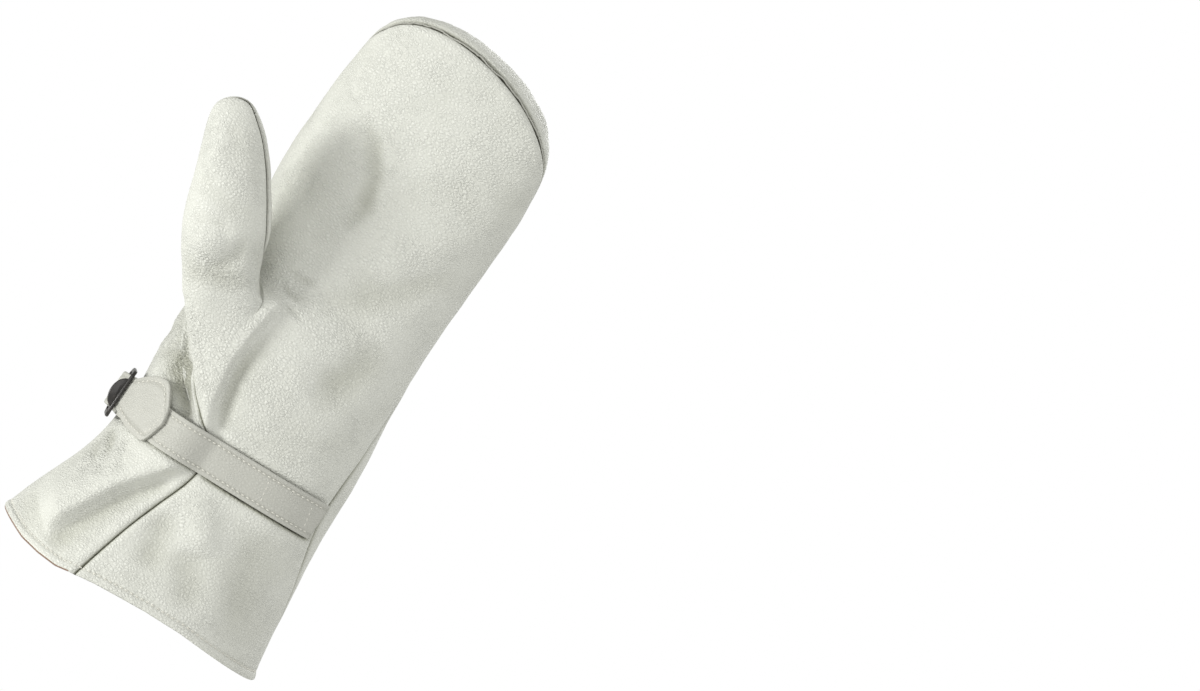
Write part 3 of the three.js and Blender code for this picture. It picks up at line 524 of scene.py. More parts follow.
class Skin:
    """The filled-out form: fine points and faces, the coarser faces for the inside, and the seams."""

    def __init__(self):
        net = joined_cage()
        for _ in range(3):
            net = smoothed(*net)
        self.coarse = net[1].reshape(-1, 4)
        self.coarse_panel = net[4]
        net = smoothed(*net)
        self.points = net[0]
        self.quads = net[1].reshape(-1, 4)
        self.panel = net[4]
        normals = normals_of(self.points, self.quads)
        tilt = (self.points - np.array([-36, -34, 84])) @ np.array([-0.62, -0.38, 0.68])
        reach = np.linalg.norm(self.points - np.array([-74, -52, 117]), axis=1)
        self.on_thumb = ramp(tilt, -6, 12) * ramp(-reach, -74, -58) * ramp(-self.points[:, 1], 8, 26)
        self.on_thumb *= ramp(-self.points[:, 0] - 0.55 * (self.points[:, 2] - 84), 8, 22)
        self.seams = {pair: chained(seams_between(self.quads, self.panel, *pair))
                      for pair in ((PALM, BACK), (PALM, THUMB_SIDE), (BACK, THUMB_SIDE))}
        seam_points = self.points[np.concatenate(list(self.seams.values()))]
        self.from_seam = distance_to(self.points, seam_points)
        height, self.squeezed = relief(self.points, normals, self.on_thumb, self.from_seam)
        # the leather dips into a seam and stands a little full beside it
        deep = 1.5 + 0.9 * ramp(self.points[:, 2], 30, 60)
        height -= deep * np.exp(-(self.from_seam / 1.1) ** 2)
        height += 0.4 * np.exp(-((self.from_seam - 4) / 2.6) ** 2)
        self.above_hem = self.points[:, 2] - BODY[0, 0]
        height -= 0.5 * np.exp(-((self.above_hem - HEM_STITCH) / 0.9) ** 2)
        height += 0.5 * ramp(-self.above_hem, -5, -3.6)
        height -= 1.0 * ramp(-self.above_hem, -1.4, 0) ** 2
        self.height = height
        # painted shade: a dark band under the strap's lower edge, put into the leather's colour
        self.contact_shade = self.shade_under_strap(normals)
        self.points = self.points + normals * height[:, None]
        self.shape_hem()
        self.normals = normals_of(self.points, self.quads)
        self.bent = 1 - (self.normals * normals).sum(1)
        self.tree = BVHTree.FromPolygons(self.points.tolist(), self.quads.tolist())

    def shape_hem(self):
        """The cuff's edge isn't cut level: its height follows x, on the palm side and on the back."""
        x, y = self.points[:, 0], self.points[:, 1]
        low = ramp(-self.points[:, 2], 30, 96)
        front = np.interp(x, HEM_PALM[:, 0], HEM_PALM[:, 1])
        behind = np.interp(x, HEM_BACK[:, 0], HEM_BACK[:, 1])
        edge = behind + (front - behind) * ramp(-y, -14, 14)
        self.points[:, 2] += low * (edge - BODY[0, 0])

    def shade_under_strap(self, normals):
        """Painted shade in a band along the strap's lower edge on the palm, most of it towards the little
        finger.
        """
        x, z = self.points[:, 0], self.points[:, 2]
        above = z - np.interp(x, LEVEL[:, 0], LEVEL[:, 1]) + STRAP_WIDTH / 2
        shade_band = np.exp(-(above / np.where(above < 0, 1.7, 3.0)) ** 2) * ramp(-normals[:, 1], 0.1, 0.4)
        shade_band *= (0.45 + 0.55 * ramp(x, -8, 8)) * ramp(x, -44, -36)
        return shade_band * ramp(self.from_seam, 1.5, 4) * ramp(-x, -62, -57)

    def painted_shade(self, used):
        """How much painted shade each point gets: in its hollow, along the lines of the seams, and in the
        band under the strap.

        The fingertip seam and the cuff's little-finger seam get darker lines of painted shade than the
        others.
        """
        from_seam = self.from_seam[used]
        x, z = self.points[used][:, 0], self.points[used][:, 2]
        marked = np.maximum(ramp(z, 170, 225), 0.6 * ramp(-z, -60, -20) * (x > 40))
        dark = np.clip(-self.height[used] / 4.5, 0, 0.95) + 1.3 * np.exp(-(from_seam / 0.6) ** 2)
        dark += 1.1 * np.exp(-(from_seam / 1.4) ** 2) * marked
        return np.clip(dark + 2.4 * self.contact_shade[used], 0, 2)

    def reach(self, deg, z):
        """Distance of the leather's outside from the axis at an angle and a height."""
        out = Vector((np.cos(np.radians(deg)), np.sin(np.radians(deg)), 0))
        hit = self.tree.ray_cast(Vector((0, 0, z)) + out * BEYOND, -out)
        return BEYOND - hit[3]


def panel_piece(name, skin, panel):
    """One panel as a closed wall: fine outside, coarser inside, and the cut edge between them.

    The inner points are the outer ones moved in along the normal; a coarse edge with a fine middle point
    on the outside makes a five-cornered face, so that the wall has no gap.
    """
    faces = skin.quads[skin.panel == panel]
    inner_faces = skin.coarse[skin.coarse_panel == panel]

    def rim_of(quads):
        ends = np.stack([quads, np.roll(quads, -1, 1)], -1).reshape(-1, 2)
        _, where, uses = np.unique(np.sort(ends, 1), axis=0, return_index=True, return_counts=True)
        return ends[where[uses == 1]]

    rim = rim_of(faces)
    middles = skin.points[faces].mean(1)
    centre_sum = np.stack([np.bincount(faces.ravel(), np.repeat(middles[:, k], 4), len(skin.points))
                           for k in range(3)], 1)
    uses = np.bincount(faces.ravel(), minlength=len(skin.points))
    on_rim = np.zeros(len(skin.points), bool)
    on_rim[rim.ravel()] = True
    hem = skin.above_hem < 0.01
    outer, under = skin.points.copy(), skin.points.copy()
    pulled = on_rim & ~hem
    inwards = centre_sum[pulled] / uses[pulled][:, None] - outer[pulled]
    inwards /= np.maximum(np.linalg.norm(inwards, axis=1), 1e-9)[:, None]
    outer[pulled] += inwards * SEAM_PULL
    under[pulled] += inwards * INNER_PULL
    skived = CROTCH_SKIVE * np.exp(-(np.linalg.norm(skin.points - CROTCH_MIDDLE, axis=1) / CROTCH_REACH) ** 2)
    turned_in = (HEM_WALL - LEATHER) * ramp(-skin.above_hem, -HEM_DEPTH - 1, -HEM_DEPTH + 1)
    wall = (LEATHER - skived) * (1 - 0.6 * ramp(skin.bent, 0.08, 0.4)) + turned_in
    inner = under - skin.normals * wall[:, None]
    used = np.unique(faces)
    used_in = np.unique(inner_faces)
    place = np.full(len(skin.points), -1)
    place[used] = np.arange(len(used))
    place_in = np.full(len(skin.points), -1)
    place_in[used_in] = len(used) + np.arange(len(used_in))
    following = dict(rim.tolist())
    rims = []
    for first, _ in rim_of(inner_faces).tolist():
        middle = following[first]
        last = following[middle]
        rims.append([place[last], place[middle], place[first], place_in[first], place_in[last]])
    polygons = place[faces].tolist() + place_in[inner_faces][:, ::-1].tolist() + rims
    obj = make_object(name, np.concatenate([outer[used], inner[used_in]]), polygons)
    set_attribute(obj, "squeezed", np.concatenate([skin.squeezed[used], np.zeros(len(used_in))]))
    # the leather's colour reads this as painted shade in hollows, along seams and under the strap
    set_attribute(obj, "hollow", np.concatenate([skin.painted_shade(used), np.zeros(len(used_in))]))
    index = np.zeros(len(polygons), np.int32)
    flesh = (skin.from_seam[inner_faces].min(1) > 3) & (skin.points[inner_faces][:, :, 2].max(1) < 0)
    index[len(faces):len(faces) + len(inner_faces)] = flesh & (np.abs(skin.height[inner_faces]).max(1) < 3)
    raw = (skin.above_hem[faces].mean(1) < 0.9) & (skin.points[faces][:, :, 0].mean(1) < -36)
    index[:len(faces)][raw & (skin.points[faces][:, :, 1].mean(1) < 0)] = 1
    at_hem = np.array([hem[used[r[1]]] for r in rims])
    index[len(faces) + len(inner_faces):][at_hem] = 1
    return obj, index


def swept(name, rings, closed=False):
    """A bar through rings of equally many points; its ends are closed with flat faces unless it is a ring."""
    rings = np.asarray(rings)
    m, n = rings.shape[:2]
    grid = np.arange(m * n).reshape(m, n)
    low, high = (grid, np.roll(grid, -1, 0)) if closed else (grid[:-1], grid[1:])
    quads = np.stack([low, np.roll(low, -1, 1), np.roll(high, -1, 1), high], -1).reshape(-1, 4).tolist()
    ends = [] if closed else [grid[0][::-1].tolist(), grid[-1].tolist()]
    return make_object(name, rings.reshape(-1, 3), quads + ends)


def rounded_section(half_width, half_wall, corner, count=4):
    """Rounded rectangle about the origin as (across, up) points, counter-clockwise."""
    out = []
    for cx, cy, start in ((1, -1, -90), (1, 1, 0), (-1, 1, 90), (-1, -1, 180)):
        for deg in np.linspace(start, start + 90, count):
            out.append((cx * (half_width - corner) + corner * np.cos(np.radians(deg)),
                        cy * (half_wall - corner) + corner * np.sin(np.radians(deg))))
    return np.array(out)


def along_of(path):
    """Unit direction of a path at each of its points."""
    run = np.gradient(path, axis=0)
    return run / np.linalg.norm(run, axis=1)[:, None]


def resampled(path, step):
    """The same path with points an even step apart, and their distances along it."""
    path = np.asarray(path, float)
    marks = np.concatenate([[0], np.cumsum(np.linalg.norm(np.diff(path, axis=0), axis=1))])
    at = np.linspace(0, marks[-1], max(int(round(marks[-1] / step)) + 1, 2))
    return np.stack([np.interp(at, marks, path[:, k]) for k in range(path.shape[1])], 1), at


def softened(path, rounds):
    """The path with its bends softened: each point moves half way to its neighbours' middle, in rounds."""
    path = np.array(path, float)
    for _ in range(rounds):
        path[1:-1] = path[1:-1] / 2 + (path[:-2] + path[2:]) / 4
    return path


def stitches(name, runs, pitch=3.1, length=2.3, thick=0.42):
    """Lines of thread as one mesh: each stitch is a little capsule whose middle stands out of the leather.

    A run is (points, outward normals). Every capsule has five rings of six points.
    """
    turn = np.linspace(0, 2 * np.pi, 7)[:-1]
    shares = np.array([-1, -0.75, 0, 0.75, 1])
    sizes = np.array([0.25, 0.85, 1.0, 0.85, 0.25])
    rises = np.array([-0.55, -0.1, 0.16, -0.1, -0.55])
    points, polygons = [], []
    for path, up in runs:
        both, _ = resampled(np.concatenate([path, up], 1), pitch)
        spots, ups = both[:-1, :3] + np.diff(both[:, :3], axis=0) / 2, both[:-1, 3:]
        along = np.diff(both[:, :3], axis=0)
        along /= np.linalg.norm(along, axis=1)[:, None]
        ups = ups - (ups * along).sum(1)[:, None] * along
        ups /= np.linalg.norm(ups, axis=1)[:, None]
        side = np.cross(along, ups)
        jitter = rng.normal(0, 0.05, (len(spots), 3))
        for k in range(len(spots)):
            first = len(points)
            for share, size, rise in zip(shares, sizes, rises):
                centre = spots[k] + jitter[k] + along[k] * share * length / 2 + ups[k] * rise * thick * 2
                for t in turn:
                    points.append(centre + (side[k] * np.cos(t) + ups[k] * np.sin(t)) * thick * size)
            for r in range(4):
                for s in range(6):
                    a, b = first + r * 6 + s, first + r * 6 + (s + 1) % 6
                    polygons.append([b, a, a + 6, b + 6])
            polygons.append([first + s for s in range(6)])
            polygons.append([first + 24 + s for s in range(5, -1, -1)])
    return make_object(name, np.array(points), polygons)


# ---------------------------------------------------------------- materials
def linear(hex_colour):
    """An sRGB hex value as linear RGBA."""
    v = np.array([int(hex_colour[k:k + 2], 16) for k in (1, 3, 5)]) / 255
    return (*np.where(v <= 0.04045, v / 12.92, ((v + 0.055) / 1.055) ** 2.4), 1.0)


def node(tree, kind, settings=None, **links):
    """Add a node, set its properties and sockets, and link the sockets that are given as outputs."""
    made = tree.nodes.new(kind)
    for key, value in (settings or {}).items():
        setattr(made, key, value)
    for key, value in links.items():
        by_number = key[0] == "i" and key[1:].isdigit()
        socket = made.inputs[int(key[1:]) if by_number else key.replace("_", " ")]
        if isinstance(value, bpy.types.NodeSocket):
            tree.links.new(value, socket)
        else:
            socket.default_value = value
    return made


def new_material(name, roughness, specular=0.5):
    """A material with its Principled shader and the Object coordinates."""
    material = bpy.data.materials.new(name)
    material.use_nodes = True
    tree = material.node_tree
    shader = tree.nodes["Principled BSDF"]
    shader.inputs["Roughness"].default_value = roughness
    shader.inputs["Specular IOR Level"].default_value = specular
    place = node(tree, "ShaderNodeTexCoord").outputs["Object"]
    return material, tree, shader, place


def blended(tree, share, first, second):
    """The output of a blend of two colours by a share."""
    return node(tree, "ShaderNodeMix", {"data_type": "RGBA"}, i0=share, i6=first, i7=second).outputs[2]


def bumped(tree, shader, height, strength, distance_mm):
    """Bump the shader's surface by a height."""
    bump = node(tree, "ShaderNodeBump", Height=height, Strength=strength, Distance=distance_mm * MM)
    tree.links.new(bump.outputs[0], shader.inputs["Normal"])


def grain_leather(name, light, shade, grain_mm=1.5, depth=0.75, roughness=0.5):
    """Smooth glove hide, drum dyed and lightly finished: fine pebble grain, a soft even sheen.

    The pebbles are Voronoi cells of the grain's width, domed at their middles; where the leather is squeezed
    the cells deepen, and long fine wrinkles cross them. Hollows and seams get painted shade, a darker and
    warmer tone, and the lines where two parts meet go on to a near-black painted shade.
    """
    material, tree, shader, place = new_material(name, roughness, 0.42)
    math = lambda op, a, b: node(tree, "ShaderNodeMath", {"operation": op}, i0=a, i1=b).outputs[0]
    noise = lambda scale, detail: node(tree, "ShaderNodeTexNoise", Vector=place, Scale=scale, Detail=detail)
    cells = lambda where, width, sharp: math("MINIMUM", math("MULTIPLY", node(
        tree, "ShaderNodeTexVoronoi", {"feature": "DISTANCE_TO_EDGE"}, Vector=where,
        Scale=1 / (width * MM)).outputs["Distance"], sharp), 1.0)
    attribute = lambda key: node(tree, "ShaderNodeAttribute", {"attribute_name": key}).outputs["Fac"]
    squeezed, hollow = attribute("squeezed"), attribute("hollow")
    warp = noise(120.0, 2.0).outputs["Color"]
    warped = node(tree, "ShaderNodeVectorMath", {"operation": "MULTIPLY_ADD"}, i0=warp,
                  i1=(0.0016, 0.0016, 0.0016), i2=place).outputs[0]
    drawn = node(tree, "ShaderNodeVectorMath", {"operation": "MULTIPLY"}, i0=warped,
                 i1=(0.62, 1.0, 1.0)).outputs[0]
    pebble, wrinkle = cells(drawn, grain_mm, 2.6), cells(warped, 3.4, 3.0)
    fine, uneven, cloud = (noise(*sort).outputs["Fac"] for sort in ((1500.0, 2.0), (38.0, 3.0), (14.0, 4.0)))
    pebble_depth = math("ADD", math("MULTIPLY", squeezed, 0.9), math("MULTIPLY", uneven, 0.9))
    wrinkle_depth = math("ADD", math("MULTIPLY", squeezed, 0.7), math("MULTIPLY", hollow, 0.4))
    wrinkles = math("MULTIPLY", math("MULTIPLY", wrinkle, 0.9), wrinkle_depth)
    total = math("ADD", math("MULTIPLY", pebble, pebble_depth), wrinkles)
    bumped(tree, shader, math("ADD", total, math("MULTIPLY", fine, 0.1)), 1.0, depth)
    # painted shade: the 'hollow' attribute darkens the tone in hollows and along seams; the pebbles' borders
    # and a cloudy noise darken it a little too
    deep = math("ADD", math("MULTIPLY", hollow, 0.6), math("MULTIPLY", math("SUBTRACT", 1.0, pebble), 0.14))
    mix = math("MINIMUM", math("ADD", deep, math("MULTIPLY", cloud, 0.22)), 1.0)
    shaded_tone = blended(tree, mix, linear(light), linear(shade))
    # painted shade: past 1 the 'hollow' value blends on towards the near-black contact shade
    contact_shade = math("MINIMUM", math("MAXIMUM", math("SUBTRACT", hollow, 1.0), 0.0), 1.0)
    tree.links.new(blended(tree, contact_shade, shaded_tone, linear(CONTACT_SHADE)), shader.inputs["Base Color"])
    rough = node(tree, "ShaderNodeMapRange", i0=uneven, i1=0.3, i2=0.7,
                 i3=roughness - 0.05, i4=roughness + 0.06)
    tree.links.new(rough.outputs[0], shader.inputs["Roughness"])
    return material


def suede(name, light, shade):
    """The flesh side of the hide: a short matt nap, pinkish brown, mottled as it is brushed each way."""
    material, tree, shader, place = new_material(name, 0.95, 0.1)
    shader.inputs["Sheen Weight"].default_value = 0.35
    shader.inputs["Sheen Roughness"].default_value = 0.5
    nap = node(tree, "ShaderNodeTexNoise", Vector=place, Scale=1500.0, Detail=3.0).outputs["Fac"]
    brushed = node(tree, "ShaderNodeTexNoise", Vector=place, Scale=90.0, Detail=3.0).outputs["Fac"]
    tree.links.new(blended(tree, brushed, linear(light), linear(shade)), shader.inputs["Base Color"])
    bumped(tree, shader, nap, 0.5, 0.25)
    return material


def thread(name, colour, dark):
    """Spun polyester thread: twisted plies every half millimetre, a faint sheen."""
    material, tree, shader, place = new_material(name, 0.6, 0.35)
    twist = node(tree, "ShaderNodeTexNoise", Vector=place, Scale=2600.0, Detail=1.0).outputs["Fac"]
    tree.links.new(blended(tree, twist, linear(colour), linear(dark)), shader.inputs["Base Color"])
    bumped(tree, shader, twist, 0.4, 0.1)
    return material


def stoved_enamel(name, colour, worn):
    """Black stoving enamel on pressed steel: semi-gloss, a slight orange peel, greyer where it rubs."""
    material, tree, shader, place = new_material(name, 0.34, 0.5)
    shader.inputs["Coat Weight"].default_value = 0.25
    shader.inputs["Coat Roughness"].default_value = 0.25
    peel = node(tree, "ShaderNodeTexNoise", Vector=place, Scale=900.0, Detail=2.0).outputs["Fac"]
    rubbed = node(tree, "ShaderNodeTexNoise", Vector=place, Scale=260.0, Detail=4.0).outputs["Fac"]
    fade = node(tree, "ShaderNodeMapRange", i0=rubbed, i1=0.52, i2=0.75).outputs[0]
    tree.links.new(blended(tree, fade, linear(colour), linear(worn)), shader.inputs["Base Color"])
    bumped(tree, shader, peel, 0.2, 0.1)
    return material


def pale_floor(name, colour):
    """Matt pale studio paper."""
    material, _, shader, _ = new_material(name, 0.9, 0.2)
    shader.inputs["Base Color"].default_value = linear(colour)
    return material


# near-black painted shade for seam lines, the welts' sides, the strap's edge notch and the band under the
# strap
CONTACT_SHADE = "#3A3832"
HIDE = grain_leather("drum-dyed glove hide, pale grey-white", "#E4E5DF", "#9E9F8F")
STRAP_HIDE = grain_leather("drum-dyed strap hide, pale grey-white", "#C8C8C1", "#8A8A80", 1.3, 0.45)
FLESH_SIDE = suede("brushed flesh side of the hide", "#9A7F6C", "#7C6252")
THREAD = thread("spun polyester thread, cream", "#E8E7E0", "#CAC8BE")
ENAMEL = stoved_enamel("black stoving enamel on steel", "#1E1B19", "#3A3633")


def finish_piece(obj, material, slot, *nodes):
    """Give a piece its material and body, and hide the nodes that it stands for; the slot is not used."""
    obj.data.materials.append(material)
    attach(obj, "root")
    if nodes:
        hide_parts(*nodes)
    return obj


# ---------------------------------------------------------------- camera and light
VIEW_WIDTH = 0.648            # what the frame's width takes in at the hand
VIEW_DISTANCE = 3.0
VIEW_CENTRE = Vector((0.1317, 0, 0.1601))
RIGHT = Vector((0.829, 0, 0.559)).normalized()
UP = Vector((-0.559, 0, 0.829)).normalized()


def set_camera():
    """A long lens square to the palm; the hand leans 34 degrees to the right in the frame."""
    data = bpy.data.cameras.new("camera")
    data.sensor_width = 36
    data.lens = 36 * VIEW_DISTANCE / VIEW_WIDTH
    data.clip_end = 50
    camera = bpy.data.objects.new("camera", data)
    towards = RIGHT.cross(UP)
    camera.matrix_world = (Matrix.Translation(VIEW_CENTRE + towards * VIEW_DISTANCE)
                           @ Matrix((RIGHT, UP, towards)).transposed().to_4x4())
    bpy.context.scene.collection.objects.link(camera)
    bpy.context.scene.camera = camera


def area_light(name, place, size, power_w, colour="#FFFFFF"):
    """A square soft light that faces the mitten."""
    data = bpy.data.lights.new(name, "AREA")
    data.shape = "SQUARE"
    data.size = size
    data.energy = power_w
    data.color = linear(colour)[:3]
    light = bpy.data.objects.new(name, data)
    light.location = place
    light.rotation_euler = (Vector((0, 0, 0.08)) - Vector(place)).to_track_quat("-Z", "Y").to_euler()
    bpy.context.scene.collection.objects.link(light)


def set_stage():
    """White surroundings, a pale floor well under the mitten, and a large soft light from the upper left."""
    scene = bpy.context.scene
    scene.view_settings.view_transform = "Standard"
    world = bpy.data.worlds.new("studio")
    world.use_nodes = True
    tree = world.node_tree
    ray = node(tree, "ShaderNodeLightPath").outputs["Is Camera Ray"]
    fill = tree.nodes["Background"]
    fill.inputs[0].default_value = linear("#F8F8F4")
    fill.inputs[1].default_value = 0.60
    white = node(tree, "ShaderNodeBackground", Color=(1, 1, 1, 1), Strength=1.0)
    mix = node(tree, "ShaderNodeMixShader", i0=ray, i1=fill.outputs[0], i2=white.outputs[0])
    tree.links.new(mix.outputs[0], tree.nodes["World Output"].inputs[0])
    scene.world = world
    left = -RIGHT
    area_light("key", tuple(left * 1.7 + UP * 0.6 + Vector((0, -1.0, 0))), 0.6, 28, "#FFFFFC")
    area_light("front", tuple(left * 0.2 + UP * 0.5 + Vector((0, -2.2, 0))), 1.2, 7.5)
    area_light("right", tuple(RIGHT * 1.8 + UP * 0.2 + Vector((0, -0.7, 0))), 1.0, 7)
    area_light("behind", (0.4, 1.4, 1.0), 1.2, 14)
    radius, floor_z = 0.9, -0.42
    turn = np.linspace(0, 2 * np.pi, 65)[:-1]
    disc = np.stack([np.cos(turn) * radius, np.sin(turn) * radius, np.full(64, floor_z)], 1) / MM
    floor = make_object("floor", disc, [list(range(64))], smooth=False)
    floor.data.materials.append(pale_floor("pale studio paper", "#F2F2F0"))


# ---------------------------------------------------------------- pieces
def make_panels(skin):
    """The three panels with the grain side out and the flesh side in."""
    for name, panel in (("palm", PALM), ("back", BACK), ("thumb_side", THUMB_SIDE)):
        obj, index = panel_piece(f"{name}_leather", skin, panel)
        finish_piece(obj, HIDE, "leather", f"{name}_panel")
        obj.data.materials.append(FLESH_SIDE)
        obj.data.polygons.foreach_set("material_index", index)


def make_welts(skin):
    """Welts: thin folded strips caught in the fingertip seam and the thumb's inner seam, standing proud."""
    tip = skin.seams[(PALM, BACK)]
    tip = tip[skin.points[tip][:, 2] > 214]
    thumb = skin.seams[(PALM, THUMB_SIDE)]
    top = int(np.argmax(skin.points[thumb][:, 2]))
    thumb = thumb[:top + 26] if skin.points[thumb[0], 2] > 50 else thumb[top - 26:]
    for name, line, unevenness in (("tip_welt", tip, 1), ("thumb_welt", thumb, 0.3)):
        path, up = skin.points[line], skin.normals[line]
        side = np.cross(along_of(path), up)
        share = np.linspace(0, 1, len(line))
        proud = (np.clip(np.minimum(share, 1 - share) / 0.08, 0, 1) ** 0.5)[:, None, None]
        section = rounded_section(0.5, 1.2, 0.38)
        wander = np.convolve(rng.normal(0, 0.5, len(line) + 8), np.ones(9) / 3, "valid") * 0.9
        path = path + side * wander[:, None] * unevenness
        rise = section[None, :, 1:] * (0.4 + 0.6 * proud) + 1.2 * proud
        rings = path[:, None] + side[:, None] * section[None, :, :1] + up[:, None] * rise
        obj = swept(f"{name}_leather", rings)
        # painted shade: the welt's sides and underside are darkened, its crown stays pale
        set_attribute(obj, "hollow", np.tile(1.1 * (section[:, 1] < 0.9) + 0.3, len(line)))
        finish_piece(obj, STRAP_HIDE, "welt_leather", name)


def strap_section(half, wall, notch=0.3, groove=0.28):
    """Rows of (share of the half width, mm past it, mm out of the middle) round a strap of doubled leather.

    Both faces dip at the stitch line, and the cut edge has a notch where the two layers meet.
    """
    dip = lambda t: groove * np.exp(-(((1 - abs(t)) * half - STITCH_INSET) / 0.55) ** 2)
    rows = [(t, 0, wall / 2 + 0.1 - 0.3 * abs(t) ** 8 - dip(t)) for t in np.linspace(-1, 1, 31)]
    edge = [(1, 0.28, wall * 0.28), (1, 0.38, wall * 0.1), (1, 0.38 - notch, 0), (1, 0.38, -wall * 0.1),
            (1, 0.28, -wall * 0.28)]
    under = [(-t, 0, -w) for t, _, w in rows]
    back = [(-t, -e, -w) for t, e, w in edge]
    return np.array(rows + edge + under + back)


class Wrist:
    """Where the strap, the loop and the buckle lie: paths in x and y, carried out from the leather."""

    def __init__(self, skin):
        self.skin = skin
        out = np.radians(BUCKLE_DEG)
        self.out = np.array([np.cos(out), np.sin(out)])
        self.along = np.array([-self.out[1], self.out[0]])
        self.centre = self.out * (self.bridge(BUCKLE_DEG) + BUCKLE_LIFT)

    def bridge(self, deg):
        """The largest reach over the strap's width, so that the strap spans the folds under it."""
        rough = np.interp(np.cos(np.radians(deg)) * 65, LEVEL[:, 0], LEVEL[:, 1])
        return max(self.skin.reach(deg + d, rough + dz) for dz in np.linspace(-10, 10, 7) for d in (-2, 0, 2))

    def line(self, start, end, lift):
        """Points round the wrist between two angles, the given height above the leather."""
        degrees = np.linspace(start, end, max(int(abs(end - start) / 2.5), 2) + 1)
        turn = np.radians(degrees)
        reach = np.array([self.bridge(d) for d in degrees]) + lift
        if len(reach) > 4:
            padded = np.pad(reach, 2, mode="edge")
            reach = sum(w * padded[k:k + len(reach)] for k, w in enumerate((0.1, 0.2, 0.4, 0.2, 0.1)))
        return np.stack([np.cos(turn), np.sin(turn)], 1) * reach[:, None]

    def at(self, u, n):
        """A point of the buckle: u mm round the wrist towards the palm, n mm out of its middle."""
        return self.centre + self.along * u + self.out * n

    def turn(self, u, radius, opens):
        """Half circle round a bar of the buckle, open towards +u or -u."""
        t = np.radians(np.linspace(-90, 90, 11))
        return np.array([self.at(u - opens * radius * np.cos(a), radius * np.sin(a)) for a in t])


def ribbon(name, path, low, high, wall, section):
    """A strap on edge along a path in x and y, between two heights; returns the object and its outer face."""
    along = along_of(path)
    out = np.stack([along[:, 1], -along[:, 0]], 1)
    if (out[0] * path[0]).sum() < 0:
        out = -out
    middle, half = (low + high) / 2, (high - low) / 2
    rings = np.zeros((len(path), len(section), 3))
    rings[:, :, :2] = path[:, None] + out[:, None] * section[None, :, 2:]
    rings[:, :, 2] = middle[:, None] + half[:, None] * section[None, :, 0] + section[None, :, 1]
    shade = 0.5 * np.exp(-(((1 - np.abs(section[:, 0])) * half.mean() - STITCH_INSET) / 0.7) ** 2)
    shade = np.maximum(shade, 1.3 * (np.abs(section[:, 2]) < 0.05))
    if np.cross(np.append(along[0], 0), rings[0, 1] - rings[0, 0]) @ np.append(out[0], 0) < 0:
        rings, shade = rings[:, ::-1], shade[::-1]
    obj = swept(name, rings)
    set_attribute(obj, "hollow", np.tile(shade, len(path)))
    return obj, out


def make_strap(wrist):
    """The strap from the little-finger seam round the palm to the buckle's bar, and back as the fan."""
    wall = STRAP_WALL
    radius = BUCKLE_BAR / 2 + CLEAR + wall / 2 + 0.25
    dip, lead = 1.9, 12     # the strap drops under the buckle's bar, starting this far before it
    under = wrist.line(STRAP_START, STRAP_TURN, CLEAR + wall / 2)
    over = wrist.line(STRAP_TURN, FAN_END, CLEAR * 2 + wall * 1.5)
    raw = np.concatenate([under, [wrist.at(lead, -wall * 1.5 - dip)], wrist.turn(0, radius, 1),
                          [wrist.at(lead, -wall / 2 - dip)], over])
    path = softened(resampled(raw, 1.0)[0], 3)
    first = int(np.argmin((path - wrist.centre) @ wrist.along))     # where the strap turns round the bar
    tip = first + int(np.argmax(path[first:, 0] > FAN[-1, 0]))
    path = path[:tip + 1]
    level = np.interp(path[:, 0], LEVEL[:, 0], LEVEL[:, 1])
    low, high = level - STRAP_WIDTH / 2, level + STRAP_WIDTH / 2
    on_fan = np.arange(len(path)) > first
    low[on_fan] = np.interp(path[on_fan, 0], FAN[:, 0], FAN[:, 1])
    high[on_fan] = np.interp(path[on_fan, 0], FAN[:, 0], FAN[:, 2])
    for edge in (low, high):
        near = slice(max(first - 8, 0), first + 9)
        edge[near] = np.convolve(np.pad(edge[near], 3, mode="edge"), np.ones(7) / 7, "valid")
    obj, out = ribbon("strap_leather", path, low, high, wall, strap_section(STRAP_WIDTH / 2, wall))
    finish_piece(obj, STRAP_HIDE, "strap_leather", "strap")
    return {"path": path, "out": out, "first": first, "low": low, "high": high}


def on_strap(strap, x, z, fan):
    """Point and outward normal of the strap's outer face at x and z in the palm view."""
    part = slice(strap["first"] + 4, None) if fan else slice(0, strap["first"] - 8)
    path, out = strap["path"][part], strap["out"][part]
    order = np.argsort(path[:, 0])
    value = lambda column: np.interp(x, path[order, 0], column[order])
    point = np.stack([x, value(path[:, 1]), z], -1)
    up = np.stack([value(out[:, 0]), value(out[:, 1]), np.zeros_like(x)], -1)
    if fan:
        up = up * np.sign((up[:, :2] * point[:, :2]).sum(1))[:, None]
    return point + up * (STRAP_WALL / 2 - 0.1), up


def strap_stitches(strap):
    """Rows along both edges, a box at the seam end, and a border inside the fan's edge."""
    runs = []
    x = np.linspace(57, -36, 90)
    level = np.interp(x, LEVEL[:, 0], LEVEL[:, 1])
    inner = STRAP_WIDTH / 2 - STITCH_INSET
    for side in (-1, 1):
        runs.append(on_strap(strap, x, level + side * inner, False))
    for at in (27.0, 53.0):
        z = np.interp(at, LEVEL[:, 0], LEVEL[:, 1]) + np.linspace(-inner + 1.6, inner - 1.6, 12)
        runs.append(on_strap(strap, np.full(12, at) + np.linspace(1.2, -1.2, 12), z, False))
    rows = FAN[FAN[:, 0] > -66]
    outline = np.concatenate([rows[:, [0, 2]], rows[::-1][:, [0, 1]]])
    outline = softened(resampled(outline, 1.5)[0], 4)
    run = along_of(outline)
    inset = outline + np.stack([run[:, 1], -run[:, 0]], 1) * (STITCH_INSET - 0.2)
    runs.append(on_strap(strap, inset[:, 0], inset[:, 1], True))
    finish_piece(stitches("strap_stitches", runs, 3.1, 2.1, 0.4), THREAD, None)


